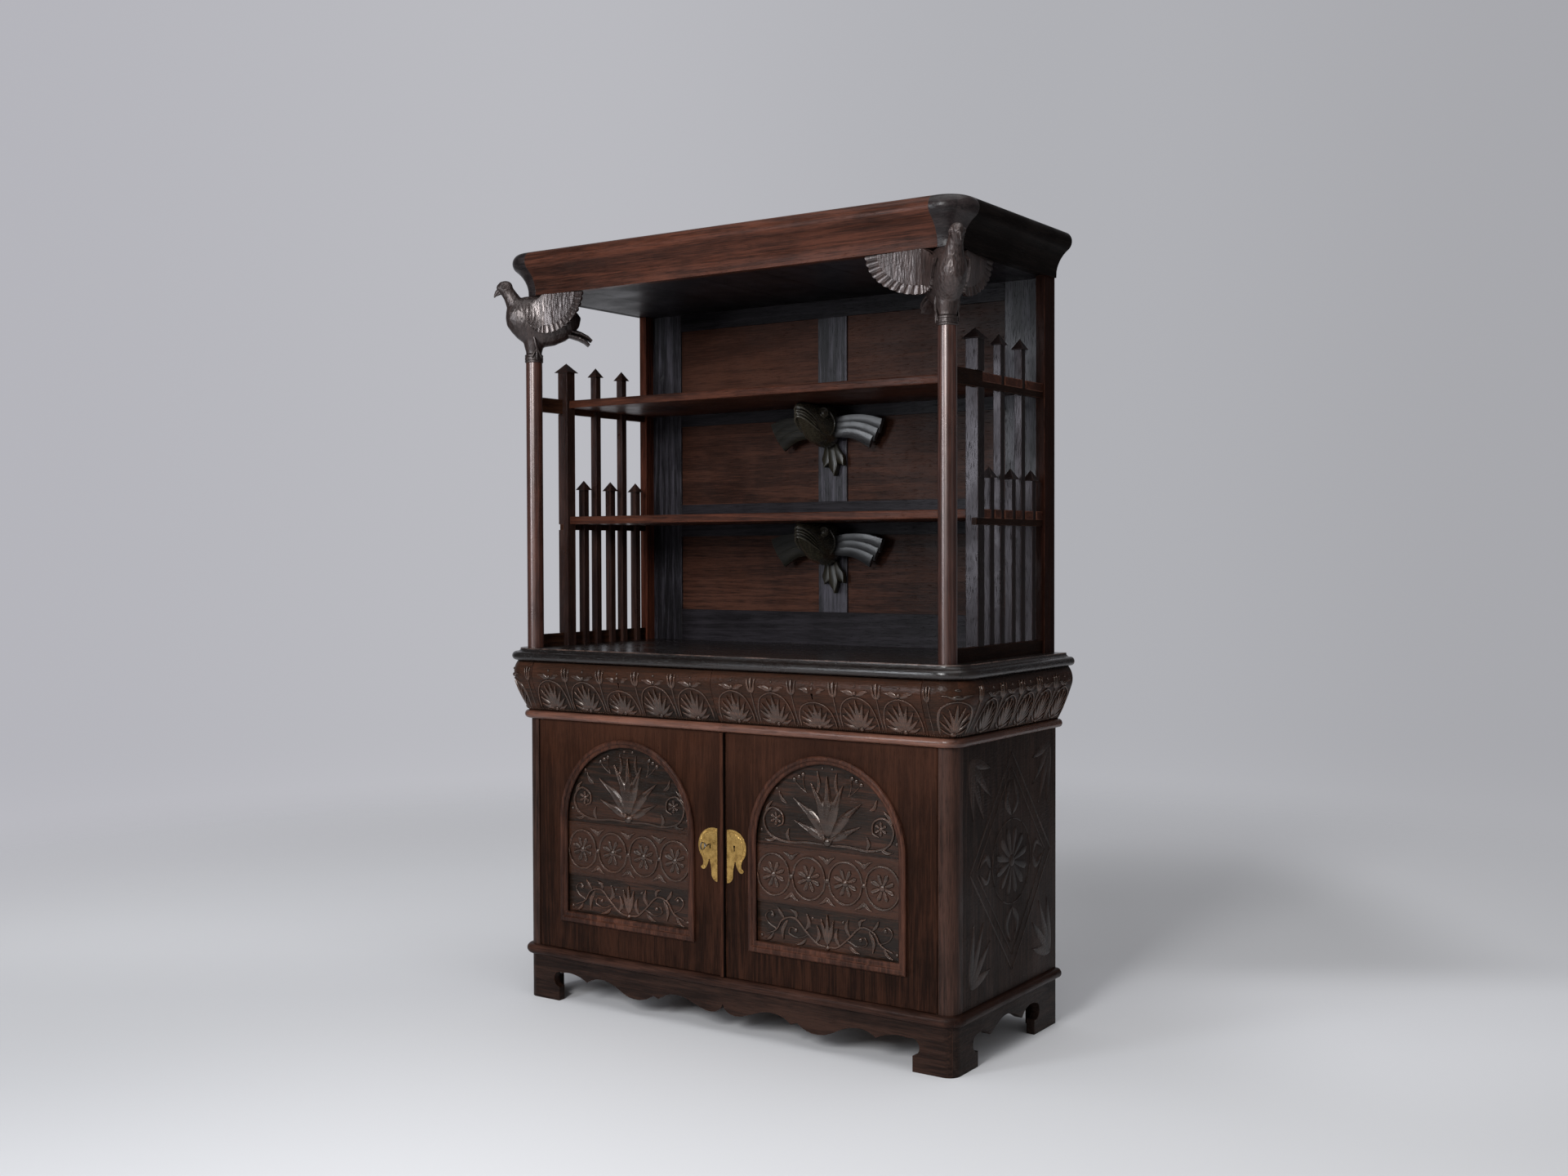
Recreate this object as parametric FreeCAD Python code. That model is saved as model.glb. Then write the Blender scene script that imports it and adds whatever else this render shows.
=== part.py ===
import FreeCAD, Part

import math
import os

# A tall oak display cupboard in two stages. The lower stage stands on scalloped aprons and has two arched
# doors, a bulged frieze with two drawers and a moulded counter. The upper stage has turned columns with bird
# capitals in front, picket galleries at the sides, a panelled back, two shelves on carved fish brackets and a
# hollow cornice. Lengths are in millimetres. X runs to the right, Y to the back, Z up. The model is worked out
# with the carcass front at Y zero and is moved at the end so that the origin lies under its middle.

V = FreeCAD.Vector

# Overall sizes
CARCASS_WIDTH = 1335.0
CARCASS_DEPTH = 556.0
CORNER_RADIUS = 30.0
APRON_HEIGHT = 120.0
BASE_MOULDING_HEIGHT = 26.0
DOOR_STAGE_HEIGHT = 628.0
BEAD_HEIGHT = 22.0
FRIEZE_HEIGHT = 138.0
COUNTER_THICKNESS = 34.0
GALLERY_HEIGHT = 967.0
CORNICE_HEIGHT = 115.0

# Boards of the carcass
SIDE_THICKNESS = 22.0
BACK_THICKNESS = 12.0
POST_WIDTH = 41.5
POST_DEPTH = 45.0
SIDE_BOARD_COUNT = 3
BACK_BOARD_COUNT = 5
INNER_SHELF_THICKNESS = 20.0
INNER_SHELF_HEIGHT = 290.0
INNER_SHELF_SETBACK = 60.0
BEARER_WIDTH = 20.0
BEARER_HEIGHT = 30.0
FIT_GAP = 1.0

# Feet and scalloped aprons
FRONT_FOOT_WIDTH = 111.5
SIDE_FRONT_FOOT_WIDTH = 120.0
SIDE_BACK_FOOT_WIDTH = 126.0
FOOT_HEIGHT_SHARE = 0.317
BACK_APRON_DROP = 65.0
FOOT_BLOCK_SIZE = 36.0
FOOT_BLOCK_LIFT = 4.0
# Right half of the front scallops from the foot to the middle: share of the half span, share of the height
FRONT_EAR_SHARES = [(1.034, 0.483), (0.980, 0.650)]
FRONT_SCALLOP_SHARES = [
    [(0.926, 0.675), (0.870, 0.630), (0.818, 0.533)],
    [(0.759, 0.650), (0.656, 0.592), (0.558, 0.392), (0.477, 0.383), (0.410, 0.529)],
    [(0.376, 0.475)],
    [(0.326, 0.600), (0.241, 0.633), (0.146, 0.500), (0.079, 0.425), (0.0135, 0.517)],
    [(0.0, 0.638)],
]
# Side scallops from the front foot to the back foot: share of the span between them, share of the height
SIDE_SCALLOP_SHARES = [
    [(-0.081, 0.458), (-0.019, 0.658)],
    [(0.065, 0.670), (0.213, 0.513)],
    [(0.345, 0.671), (0.477, 0.750), (0.639, 0.667), (0.774, 0.500)],
    [(0.861, 0.667), (0.952, 0.700), (1.042, 0.658)],
    [(1.094, 0.520), (1.0, 0.317)],
]

# Mouldings: base moulding, bead, frieze, counter edge and cornice
BASE_MOULDING_PROUD = 17.0
BEAD_PROUD = 19.0
FRIEZE_PROUD = 48.0
FRIEZE_BELLY_SHARES = [(0.52, 0.27), (0.94, 0.645)]
FRIEZE_HEAD_SHARES = [(1.0, 0.765), (0.75, 1.0)]
FRIEZE_FOOT_SHARE = 0.135
FRIEZE_CORNER_LENGTH = 60.0
COUNTER_PROUD = 53.0
COUNTER_TOP_SHARE = 0.566
COUNTER_COVE_SHARES = [(0.62, 0.78), (0.735, 0.70)]
COUNTER_NOSE_SHARES = [(1.0, 0.37), (0.80, 0.03)]
COUNTER_FOOT_SHARE = 0.68
CORNICE_PROUD = 45.0
CORNICE_FOOT_SHARE = 0.034
CORNICE_STEP_SHARE = (0.045, 0.14)
CORNICE_COVE_SHARES = [(0.33, 0.42), (0.78, 0.60)]
CORNICE_NOSE_SHARES = [(1.0, 0.765), (0.66, 0.985)]
CORNICE_TOP_SHARE = 0.55
CORNICE_CORNER_LENGTH = 42.0
SOFFIT_THICKNESS = 18.0
SOFFIT_FRONT_EDGE = 78.0
SOFFIT_BOARD_COUNT = 7
TOP_BOARD_THICKNESS = 12.0
TOP_BOARD_DROP = 6.0
TOP_BOARD_COUNT = 3

# Doors, hung on pins near their outer corners
DOOR_THICKNESS = 24.0
DOOR_PIN_INSET = 7.0
DOOR_PIN_RADIUS = 3.0
DOOR_PIN_PLAY = 0.1
DOOR_PIN_REACH = 14.0
DOOR_SIDE_GAP = 1.5
DOOR_END_GAP = 2.0
DOOR_MEETING_PLACE = 13.0
DOOR_MEETING_GAP = 1.2
STRIP_WIDTH = 15.0
STRIP_PROUD = 10.0
STRIP_EDGE_INSET = 0.6
ARCH_CENTRE = 314.0
ARCH_RADIUS = 228.0
ARCH_SPRING_HEIGHT = 358.0
ARCH_FOOT_HEIGHT = 79.0
ARCH_MOULDING_WIDTH = 21.0
ARCH_FOOT_WIDTH = 28.0
ARCH_MOULDING_PROUD = 11.0
ARCH_RIDGE_WIDTH = 12.0
ARCH_RIDGE_EASING = 3.5
ARCH_BAND_PROUD = 6.0
ARCH_BAND_EASING = 3.0
ARCH_OPENING_LAP = 6.0
PANEL_RECESS = 9.0
PANEL_THICKNESS = 13.0
MIDDLE_BOARD_PROUD = 3.0
MIDDLE_BOARD_FOOT = 207.0
MIDDLE_BOARD_HEAD = 352.0

# Lock, key and brass plates on the doors
PLATE_WIDTH = 60.0
PLATE_HEIGHT = 136.0
PLATE_THICKNESS = 1.5
PLATE_HEAD_HEIGHT = 378.0
LEFT_PLATE_EDGE = 14.0
RIGHT_PLATE_EDGE = 16.4
# Outline of a plate: share of its width outward from the straight edge, share of its height down from the top
PLATE_LOBE_SHARES = [[(0.60, 0.03), (0.90, 0.16)], [(1.0, 0.32), (0.90, 0.50)]]
PLATE_CURL_SHARES = [(0.75, 0.62), (0.755, 0.69), (0.88, 0.74)]
PLATE_TIP_SHARES = [[(0.78, 0.785), (0.66, 0.775)], [(0.56, 0.72), (0.46, 0.61)], [(0.43, 0.585), (0.40, 0.61)]]
PLATE_LEG_SHARES = [[(0.335, 0.72), (0.31, 0.84)], [(0.23, 0.95), (0.0, 1.0)]]
KEYHOLE_OUT = 23.0
KEYHOLE_DROP = 41.0
KEYHOLE_RADIUS = 3.1
KEYHOLE_SLOT_WIDTH = 3.4
KEYHOLE_SLOT_LENGTH = 12.0
LOCK_WIDTH = 62.0
LOCK_HEIGHT = 60.0
LOCK_DEPTH = 17.0
LOCK_WALL = 2.0
LOCK_EDGE_INSET = 5.0
BOLT_THICKNESS = 4.5
BOLT_HEIGHT = 12.0
BOLT_LENGTH = 50.0
BOLT_RISE = 4.5
BOLT_PLAY = 0.5
KEY_SHANK_RADIUS = 2.4
KEY_BOW_RADIUS = 9.0
KEY_BOW_WIRE_RADIUS = 1.7
KEY_REACH = 22.0
KEY_COLLAR_RADIUS = 3.8
KEY_COLLAR_LENGTH = 3.0
KEY_BIT_LENGTH = 9.0
KEY_BIT_WIDTH = 5.0
KEY_BIT_THICKNESS = 2.2
KEY_BIT_SETBACK = 2.0

# Drawers behind the frieze
DRAWER_GAP = 1.5
DRAWER_FRONT_THICKNESS = 22.0
DRAWER_WALL = 12.0
DRAWER_FLOOR = 8.0
DRAWER_FLOOR_LIFT = 6.0
DRAWER_BACK_GAP = 52.0
DRAWER_HEAD_DROP = 22.0
DRAWER_SIDE_PLAY = 3.0
DIVIDER_THICKNESS = 18.0
DIVIDER_SETBACK = 0.5
GUIDE_HEIGHT = 24.0
DRAWER_KEYHOLE_DEPTH = 12.0

# Columns and gallery at the sides
COLUMN_SETBACK = 12.0
COLUMN_INSET = 22.5
COLUMN_RADIUS = 22.5
COLUMN_HEIGHT = 785.0
COLUMN_TENON_RADIUS = 12.0
COLLAR_RADIUS = 25.0
COLLAR_HEIGHT = 22.0
COLLAR_GROOVE_DEPTH = 1.5
# Outline of a collar up its height: share of the height, share of the groove's depth
COLLAR_SHARES = [(0.0, 1.0), (0.08, 0.0), (0.22, 0.0), (0.27, 0.8), (0.32, 0.0),
                 (0.68, 0.0), (0.73, 0.8), (0.78, 0.0), (0.92, 0.0), (1.0, 1.0)]
TENON_REACH = 25.0
GALLERY_INSET = 20.8
RAIL_THICKNESS = 12.0
BOTTOM_RAIL_HEIGHT = 35.0
GATE_POST_SIZE = 33.0
GATE_POST_PLACE = 146.0
GATE_POST_HEIGHT = 769.0
GATE_CAP_SIZE = 48.0
PICKET_SIZE = 20.0
PICKET_CAP_SIZE = 33.0
CAP_HEIGHT = 27.0
# Places of the pickets as shares of the way from the gate post to the back post
UPPER_PICKET_SHARES = (0.36, 0.6914)
UPPER_PICKET_HEIGHT = 767.0
LOWER_PICKET_SHARES = (0.2057, 0.54, 0.8686)
LOWER_PICKET_HEIGHT = 441.0
BACK_POST_WIDTH = 24.0
BACK_POST_DEPTH = 60.0
BACK_POST_INSET = 3.5

# Shelves and their bearers
SHELF_THICKNESS = 21.5
SHELF_SETBACK = 140.0
LOWER_SHELF_HEIGHT = 342.0
UPPER_SHELF_HEIGHT = 669.0
SHELF_RAIL_HEIGHT = 16.0
UPPER_RAIL_HEIGHT = 40.0
SHELF_ROUNDING = 3.0

# Panelled back of the upper stage
BACK_FRAME_THICKNESS = 26.0
STILE_WIDTH = 105.0
MUNTIN_WIDTH = 94.0
TOP_RAIL_HEIGHT = 49.0
CROSS_RAIL_HEIGHT = 94.0
LOWER_CROSS_RAIL_HEIGHT = 309.0
UPPER_CROSS_RAIL_HEIGHT = 635.0
BOTTOM_BACK_RAIL_HEIGHT = 92.0
BACK_PANEL_THICKNESS = 10.0
BACK_PANEL_RECESS = 6.0
PANEL_TONGUE = 7.0

# Carved animals: facets round a ring, and rings along a rounded body in shares of its half length
RING_FACET_COUNT = 20
EGG_SHARES = (-0.985, -0.90, -0.72, -0.46, -0.16, 0.16, 0.46, 0.72, 0.90, 0.985)

# Bird capital: lengths from the column's axis along the bird's heading, and up from the collar
BIRD_LENGTH = 196.0
BIRD_HALF_WIDTH = 40.0
BIRD_HALF_HEIGHT = 70.0
BIRD_MIDDLE_SETBACK = 25.0
BIRD_MIDDLE_RISE = 95.0
BIRD_NECK_RADIUS = 23.0
HEAD_REACH = 76.0
HEAD_RISE = 180.0
HEAD_LENGTH = 22.0
HEAD_HALF_WIDTH = 18.0
BEAK_REACH = 109.0
BEAK_RISE = 149.0
BEAK_ROOT_RADIUS = 7.5
BEAK_TIP_RADIUS = 1.5
# Neck sections: share of the head's reach, share of its rise, share of the bird's half width
THROAT_SHARES = [(0.42, 0.56, 0.86), (0.68, 0.73, 0.60), (0.88, 0.88, 0.44), (1.0, 1.0, 0.40)]
TAIL_REACH = 153.0
TAIL_HALF_WIDTH = 33.0
TAIL_THICKNESS = 18.0
# Tail sections: share of the reach, rise in shares of the head's rise, share of width, share of thickness
TAIL_SHARES = [(0.46, 0.30, 0.55, 1.7), (0.72, 0.27, 0.62, 1.2), (0.88, 0.222, 0.84, 1.0), (1.0, 0.155, 1.0, 0.9)]
WING_SPAN = 186.0
WING_DROP = 106.0
WING_THICKNESS = 18.0
WING_SHOULDER_INSET = 16.0
WING_FACE_SETBACK = 12.0
WING_FEATHER_COUNT = 12
WING_SWEEP_DEGREES = 104.0
WING_SCALLOP_SHARE = 0.035

# Fish bracket: lengths forward from the panelled back and down from the shelf
FISH_REACH = 175.0
FISH_DEPTH = 116.0
FISH_HALF_WIDTH = 44.0
# Head sections: reach share, middle drop share, half height share of the depth, share of the half width
FISH_SHARES = [
    (0.0, 0.46, 0.54, 0.80),
    (0.22, 0.46, 0.55, 1.0),
    (0.48, 0.42, 0.50, 0.92),
    (0.72, 0.30, 0.36, 0.68),
    (0.92, 0.20, 0.20, 0.42),
    (1.0, 0.17, 0.12, 0.28),
]
MOUTH_START_SHARES = (1.02, 0.19)
MOUTH_END_SHARES = (0.57, 0.50)
MOUTH_GAPE = 9.0
FISH_EYE_RADIUS = 8.0
FISH_EYE_SHARES = (0.42, 0.14)
FIN_THICKNESS = 9.0
FIN_SPREAD = 176.0
FIN_FORWARD = 34.0
# Fin outline from its root: share of the spread, share of the fish's depth
FIN_SHARES = [(0.23, 0.34), (0.55, 0.30), (0.80, 0.33), (1.0, 0.45), (0.95, 0.72), (0.86, 0.87), (0.76, 0.97)]
FIN_ROOT_SHARE = (0.23, 0.74)
FISH_TAIL_DROP = 190.0
FISH_TAIL_WIDTH = 66.0
FISH_TAIL_THICKNESS = 16.0
# Right half of the fish tail: share of its width, share of its drop
FISH_TAIL_SHARES = [(0.27, 0.60), (0.33, 0.70), (0.50, 0.86), (0.22, 0.90), (0.0, 1.0)]

CUT_OVERRUN = 5.0

HALF_WIDTH = CARCASS_WIDTH / 2
INNER_HALF = HALF_WIDTH - SIDE_THICKNESS
CORNER_X = HALF_WIDTH - CORNER_RADIUS
CORNER_Y = CORNER_RADIUS
BACK_Y = CARCASS_DEPTH - BACK_THICKNESS

BASE_TOP = APRON_HEIGHT + BASE_MOULDING_HEIGHT
DOOR_STAGE_TOP = BASE_TOP + DOOR_STAGE_HEIGHT
FRIEZE_FOOT = DOOR_STAGE_TOP + BEAD_HEIGHT
COUNTER_FOOT = FRIEZE_FOOT + FRIEZE_HEIGHT
COUNTER_TOP = COUNTER_FOOT + COUNTER_THICKNESS
SOFFIT = COUNTER_TOP + GALLERY_HEIGHT
CORNICE_TOP = SOFFIT + CORNICE_HEIGHT

POST_INNER = HALF_WIDTH - POST_WIDTH
DRAWER_END = HALF_WIDTH - FRIEZE_CORNER_LENGTH
COLUMN_X = HALF_WIDTH - COLUMN_INSET
RAIL_X = HALF_WIDTH - GALLERY_INSET
RAIL_OUTER = RAIL_X + RAIL_THICKNESS
BACK_FRAME_Y = CARCASS_DEPTH - BACK_FRAME_THICKNESS
BACK_POST_OUTER = HALF_WIDTH - BACK_POST_INSET
BACK_POST_INNER = BACK_POST_OUTER - BACK_POST_WIDTH
BACK_POST_Y = CARCASS_DEPTH - BACK_POST_DEPTH
STILE_INNER = BACK_POST_INNER - STILE_WIDTH
UPPER_PICKET_PLACES = [GATE_POST_PLACE + share * (BACK_POST_Y - GATE_POST_PLACE)
                       for share in UPPER_PICKET_SHARES]
LOWER_PICKET_PLACES = [GATE_POST_PLACE + share * (BACK_POST_Y - GATE_POST_PLACE)
                       for share in LOWER_PICKET_SHARES]
LOWER_SHELF_FOOT = COUNTER_TOP + LOWER_SHELF_HEIGHT
UPPER_SHELF_FOOT = COUNTER_TOP + UPPER_SHELF_HEIGHT
COLLAR_FOOT = COUNTER_TOP + COLUMN_HEIGHT
CAPITAL_FOOT = COLLAR_FOOT + COLLAR_HEIGHT

PIN_X = POST_INNER - DOOR_SIDE_GAP - DOOR_PIN_INSET
DOOR_FOOT = BASE_TOP + DOOR_END_GAP
DOOR_HEAD = DOOR_STAGE_TOP - DOOR_END_GAP
PLATE_HEAD = BASE_TOP + PLATE_HEAD_HEIGHT
KEYHOLE_Z = PLATE_HEAD - KEYHOLE_DROP


def box(x_low, x_high, y_low, y_high, z_low, z_high):
    """Return a box between two corners."""
    return Part.makeBox(x_high - x_low, y_high - y_low, z_high - z_low, V(x_low, y_low, z_low))


def tucked_board(y_high, z_low, z_high, y_low=SIDE_THICKNESS, x_low=0.0):
    """Return a level board inside the mouldings, its front corners rounded to fit inside their corners."""
    rounding = CORNER_RADIUS - SIDE_THICKNESS
    face = outline(lambda x, y: V(x, y, z_low), (x_low, y_low), [
        ("line", [(INNER_HALF - rounding, y_low)]),
        ("arc", [(INNER_HALF - rounding * (1 - math.sin(math.pi / 4)),
                  y_low + rounding * (1 - math.cos(math.pi / 4))), (INNER_HALF, y_low + rounding)]),
        ("line", [(INNER_HALF, y_high)]),
        ("line", [(x_low, y_high)]),
    ])
    right = face.extrude(V(0, 0, z_high - z_low))
    return right if x_low > 0 else fused([right, mirrored(right)])


def mirrored(shape):
    """Return the shape mirrored from the right to the left."""
    return shape.mirror(V(0, 0, 0), V(1, 0, 0))


def both_sides(shape):
    """Return the right shape and its left twin as separate solids."""
    return Part.makeCompound([*shape.Solids, *mirrored(shape).Solids])


def fused(shapes):
    """Return the shapes joined into one clean solid."""
    whole = shapes[0].multiFuse(shapes[1:])
    return whole.removeSplitter()


def outline(place, start, steps):
    """Return a face bounded by lines, arcs and smooth curves; place turns two numbers into a point."""
    edges = []
    here = start
    for kind, points in steps:
        if kind == "line":
            edges.append(Part.makeLine(place(*here), place(*points[0])))
        elif kind == "arc":
            edges.append(Part.Arc(place(*here), place(*points[0]), place(*points[1])).toShape())
        else:
            curve = Part.BSplineCurve()
            curve.interpolate([place(*point) for point in [here, *points]])
            edges.append(curve.toShape())
        here = points[-1]
    edges.append(Part.makeLine(place(*here), place(*start)))
    return Part.Face(Part.Wire(edges))


def scaled(shares, width, height, out=0.0, up=0.0):
    """Return points at shares of a width and a height, from a corner."""
    return [(out + across * width, up + rise * height) for across, rise in shares]


def front_place(x):
    """Return a placing for profiles that are swept along the front."""
    return lambda out, z: V(x, -out, z)


def side_place(y):
    """Return a placing for profiles that are swept along the right side."""
    return lambda out, z: V(HALF_WIDTH + out, y, z)


def turned(face, degrees):
    """Return a face swept round the rounded front corner on the right."""
    return face.revolve(V(CORNER_X, CORNER_Y, 0), V(0, 0, 1), degrees)


def front_length(profile, x_low, x_high):
    """Return a profile swept along the front between two places."""
    return profile(front_place(x_low)).extrude(V(x_high - x_low, 0, 0))


def side_length(profile, y_low, y_high):
    """Return a profile swept along the right side between two places."""
    return profile(side_place(y_low)).extrude(V(0, y_high - y_low, 0))


def mitred_front(profile):
    """Return the front length of a moulding, mitred in the middle of both rounded corners."""
    corner = turned(profile(front_place(CORNER_X)), 45)
    return fused([front_length(profile, -CORNER_X, CORNER_X), corner, mirrored(corner)])


def mitred_side(profile):
    """Return the right side length of a moulding, mitred in the middle of the rounded corner."""
    corner = turned(profile(side_place(CORNER_Y)), -45)
    return fused([side_length(profile, CORNER_Y, CARCASS_DEPTH), corner])


def corner_block(profile, length):
    """Return the right corner of a moulding with a straight stretch on each face."""
    return fused([
        front_length(profile, HALF_WIDTH - length, CORNER_X),
        turned(profile(front_place(CORNER_X)), 90),
        side_length(profile, CORNER_Y, length),
    ])


def nosed_profile(foot, height, proud):
    """Return a board's section with a half round front edge."""
    nose = height / 2

    def profile(place):
        return outline(place, (-SIDE_THICKNESS, foot), [
            ("line", [(proud - nose, foot)]),
            ("arc", [(proud, foot + nose), (proud - nose, foot + height)]),
            ("line", [(-SIDE_THICKNESS, foot + height)]),
        ])
    return profile


def apron_profile(place):
    """Return the plain section of an apron at the corner feet."""
    return outline(place, (-SIDE_THICKNESS, 0), [
        ("line", [(0, 0)]),
        ("line", [(0, APRON_HEIGHT)]),
        ("line", [(-SIDE_THICKNESS, APRON_HEIGHT)]),
    ])


def frieze_profile(thickness, foot_gap=0.0):
    """Return the bulged section of the frieze for a given thickness of wood."""
    def profile(place):
        foot = FRIEZE_FOOT + foot_gap
        height = FRIEZE_HEIGHT - 2 * foot_gap
        return outline(place, (-thickness, foot), [
            ("line", [(FRIEZE_FOOT_SHARE * FRIEZE_PROUD, foot)]),
            ("arc", scaled(FRIEZE_BELLY_SHARES, FRIEZE_PROUD, height, up=foot)),
            ("arc", scaled(FRIEZE_HEAD_SHARES, FRIEZE_PROUD, height, up=foot)),
            ("line", [(-thickness, foot + height)]),
        ])
    return profile


def counter_profile(place):
    """Return the moulded edge of the counter."""
    return outline(place, (-CORNER_RADIUS, COUNTER_FOOT), [
        ("line", [(COUNTER_FOOT_SHARE * COUNTER_PROUD, COUNTER_FOOT)]),
        ("line", scaled(COUNTER_NOSE_SHARES[1:], COUNTER_PROUD, COUNTER_THICKNESS, up=COUNTER_FOOT)),
        ("arc", scaled([COUNTER_NOSE_SHARES[0], COUNTER_COVE_SHARES[1]], COUNTER_PROUD,
                       COUNTER_THICKNESS, up=COUNTER_FOOT)),
        ("arc", scaled([COUNTER_COVE_SHARES[0], (COUNTER_TOP_SHARE, 1)], COUNTER_PROUD,
                       COUNTER_THICKNESS, up=COUNTER_FOOT)),
        ("line", [(-CORNER_RADIUS, COUNTER_TOP)]),
    ])


def cornice_profile(place):
    """Return the hollow section of the cornice with its rounded top edge."""
    return outline(place, (-SIDE_THICKNESS, SOFFIT), [
        ("line", [(CORNICE_FOOT_SHARE * CORNICE_PROUD, SOFFIT)]),
        ("line", scaled([CORNICE_STEP_SHARE], CORNICE_PROUD, CORNICE_HEIGHT, up=SOFFIT)),
        ("arc", scaled(CORNICE_COVE_SHARES, CORNICE_PROUD, CORNICE_HEIGHT, up=SOFFIT)),
        ("arc", scaled(CORNICE_NOSE_SHARES, CORNICE_PROUD, CORNICE_HEIGHT, up=SOFFIT)),
        ("line", [(CORNICE_TOP_SHARE * CORNICE_PROUD, CORNICE_TOP)]),
        ("line", [(-SIDE_THICKNESS, CORNICE_TOP)]),
    ])


def boards(count, x_low, x_high, y_low, y_high, z_low, z_high, along="x"):
    """Return equal boards laid edge to edge across a rectangle, as separate solids."""
    pieces = []
    for index in range(count):
        if along == "x":
            width = (x_high - x_low) / count
            edge = x_low + index * width
            pieces.append(box(edge, edge + width, y_low, y_high, z_low, z_high))
        else:
            width = (y_high - y_low) / count
            edge = y_low + index * width
            pieces.append(box(x_low, x_high, edge, edge + width, z_low, z_high))
    return Part.makeCompound(pieces)


def front_apron():
    """Return the front apron with its scalloped lower edge and the front halves of the feet."""
    span = HALF_WIDTH - FRONT_FOOT_WIDTH

    def side_steps(sign):
        ear = scaled(FRONT_EAR_SHARES, sign * span, APRON_HEIGHT)
        runs = [scaled(run, sign * span, APRON_HEIGHT) for run in FRONT_SCALLOP_SHARES]
        return ear, runs

    def place(x, z):
        return V(x, 0, z)

    ear, runs = side_steps(1)
    mirror_ear, mirror_runs = side_steps(-1)
    ear_foot = FOOT_HEIGHT_SHARE * APRON_HEIGHT
    steps = [("line", [(CORNER_X, 0)]), ("line", [(span, 0)]), ("line", [(span, ear_foot)]), ("arc", ear)]
    for run in runs:
        steps.append(("curve" if len(run) > 1 else "line", run))
    ends = [ear[-1]] + [run[-1] for run in runs]
    for index in range(len(runs) - 1, -1, -1):
        start = (-ends[index][0], ends[index][1])
        back = list(reversed(mirror_runs[index][:-1])) + [start]
        steps.append(("curve" if len(back) > 1 else "line", back))
    steps.append(("arc", [mirror_ear[0], (-span, ear_foot)]))
    steps += [("line", [(-span, 0)]), ("line", [(-CORNER_X, 0)]), ("line", [(-CORNER_X, APRON_HEIGHT)])]
    board = outline(place, (CORNER_X, APRON_HEIGHT), steps).extrude(V(0, SIDE_THICKNESS, 0))
    corner = turned(apron_profile(front_place(CORNER_X)), 45)
    return fused([board, corner, mirrored(corner)])


def side_aprons():
    """Return both side aprons, mitred to the front apron."""
    span = CARCASS_DEPTH - SIDE_FRONT_FOOT_WIDTH - SIDE_BACK_FOOT_WIDTH
    back_foot = CARCASS_DEPTH - SIDE_BACK_FOOT_WIDTH
    ear_foot = FOOT_HEIGHT_SHARE * APRON_HEIGHT
    runs = [scaled(run, span, APRON_HEIGHT, out=SIDE_FRONT_FOOT_WIDTH) for run in SIDE_SCALLOP_SHARES]
    steps = [
        ("line", [(CORNER_Y, 0)]),
        ("line", [(SIDE_FRONT_FOOT_WIDTH, 0)]),
        ("line", [(SIDE_FRONT_FOOT_WIDTH, ear_foot)]),
        ("arc", runs[0]),
        ("arc", runs[1]),
        ("curve", runs[2]),
        ("curve", runs[3]),
        ("arc", runs[4]),
        ("line", [(back_foot, 0)]),
        ("line", [(CARCASS_DEPTH, 0)]),
        ("line", [(CARCASS_DEPTH, APRON_HEIGHT)]),
    ]
    face = outline(lambda y, z: V(INNER_HALF, y, z), (CORNER_Y, APRON_HEIGHT), steps)
    corner = turned(apron_profile(side_place(CORNER_Y)), -45)
    return both_sides(fused([face.extrude(V(SIDE_THICKNESS, 0, 0)), corner]))


def back_apron():
    """Return the plain board between the back feet."""
    return box(-INNER_HALF, INNER_HALF, CARCASS_DEPTH - SIDE_THICKNESS, CARCASS_DEPTH,
               APRON_HEIGHT - BACK_APRON_DROP, APRON_HEIGHT)


def foot_blocks():
    """Return the four glued blocks that stiffen the feet from inside."""
    size = FOOT_BLOCK_SIZE
    front = tucked_board(SIDE_THICKNESS + size, FOOT_BLOCK_LIFT, APRON_HEIGHT, x_low=INNER_HALF - size)
    back_y = CARCASS_DEPTH - SIDE_THICKNESS
    back = box(INNER_HALF - size, INNER_HALF, back_y - size, back_y, FOOT_BLOCK_LIFT, APRON_HEIGHT)
    return Part.makeCompound([*both_sides(front).Solids, *both_sides(back).Solids])


def wrapped_moulding(profile):
    """Return a moulding round the front and both sides, as three mitred lengths."""
    return Part.makeCompound([mitred_front(profile), *both_sides(mitred_side(profile)).Solids])


def bottom_board():
    """Return the floor of the cupboard."""
    return tucked_board(BACK_Y, APRON_HEIGHT, BASE_TOP)


def corner_posts():
    """Return the front corner posts with rounded outer edges."""
    face = outline(lambda x, y: V(x, y, BASE_TOP), (POST_INNER, 0), [
        ("line", [(CORNER_X, 0)]),
        ("arc", [(CORNER_X + CORNER_RADIUS * math.sin(math.pi / 4),
                  CORNER_Y - CORNER_RADIUS * math.cos(math.pi / 4)), (HALF_WIDTH, CORNER_Y)]),
        ("line", [(HALF_WIDTH, POST_DEPTH)]),
        ("line", [(POST_INNER, POST_DEPTH)]),
    ])
    return both_sides(face.extrude(V(0, 0, DOOR_STAGE_HEIGHT)))


def side_panels():
    """Return both sides of the door stage, each of upright boards."""
    right = boards(SIDE_BOARD_COUNT, INNER_HALF, HALF_WIDTH, POST_DEPTH, CARCASS_DEPTH,
                   BASE_TOP, DOOR_STAGE_TOP, along="y")
    return both_sides(right)


def carcass_back():
    """Return the upright boards that close the back of the lower stage."""
    return boards(BACK_BOARD_COUNT, -INNER_HALF, INNER_HALF, BACK_Y, CARCASS_DEPTH,
                  APRON_HEIGHT, COUNTER_FOOT)


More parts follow.
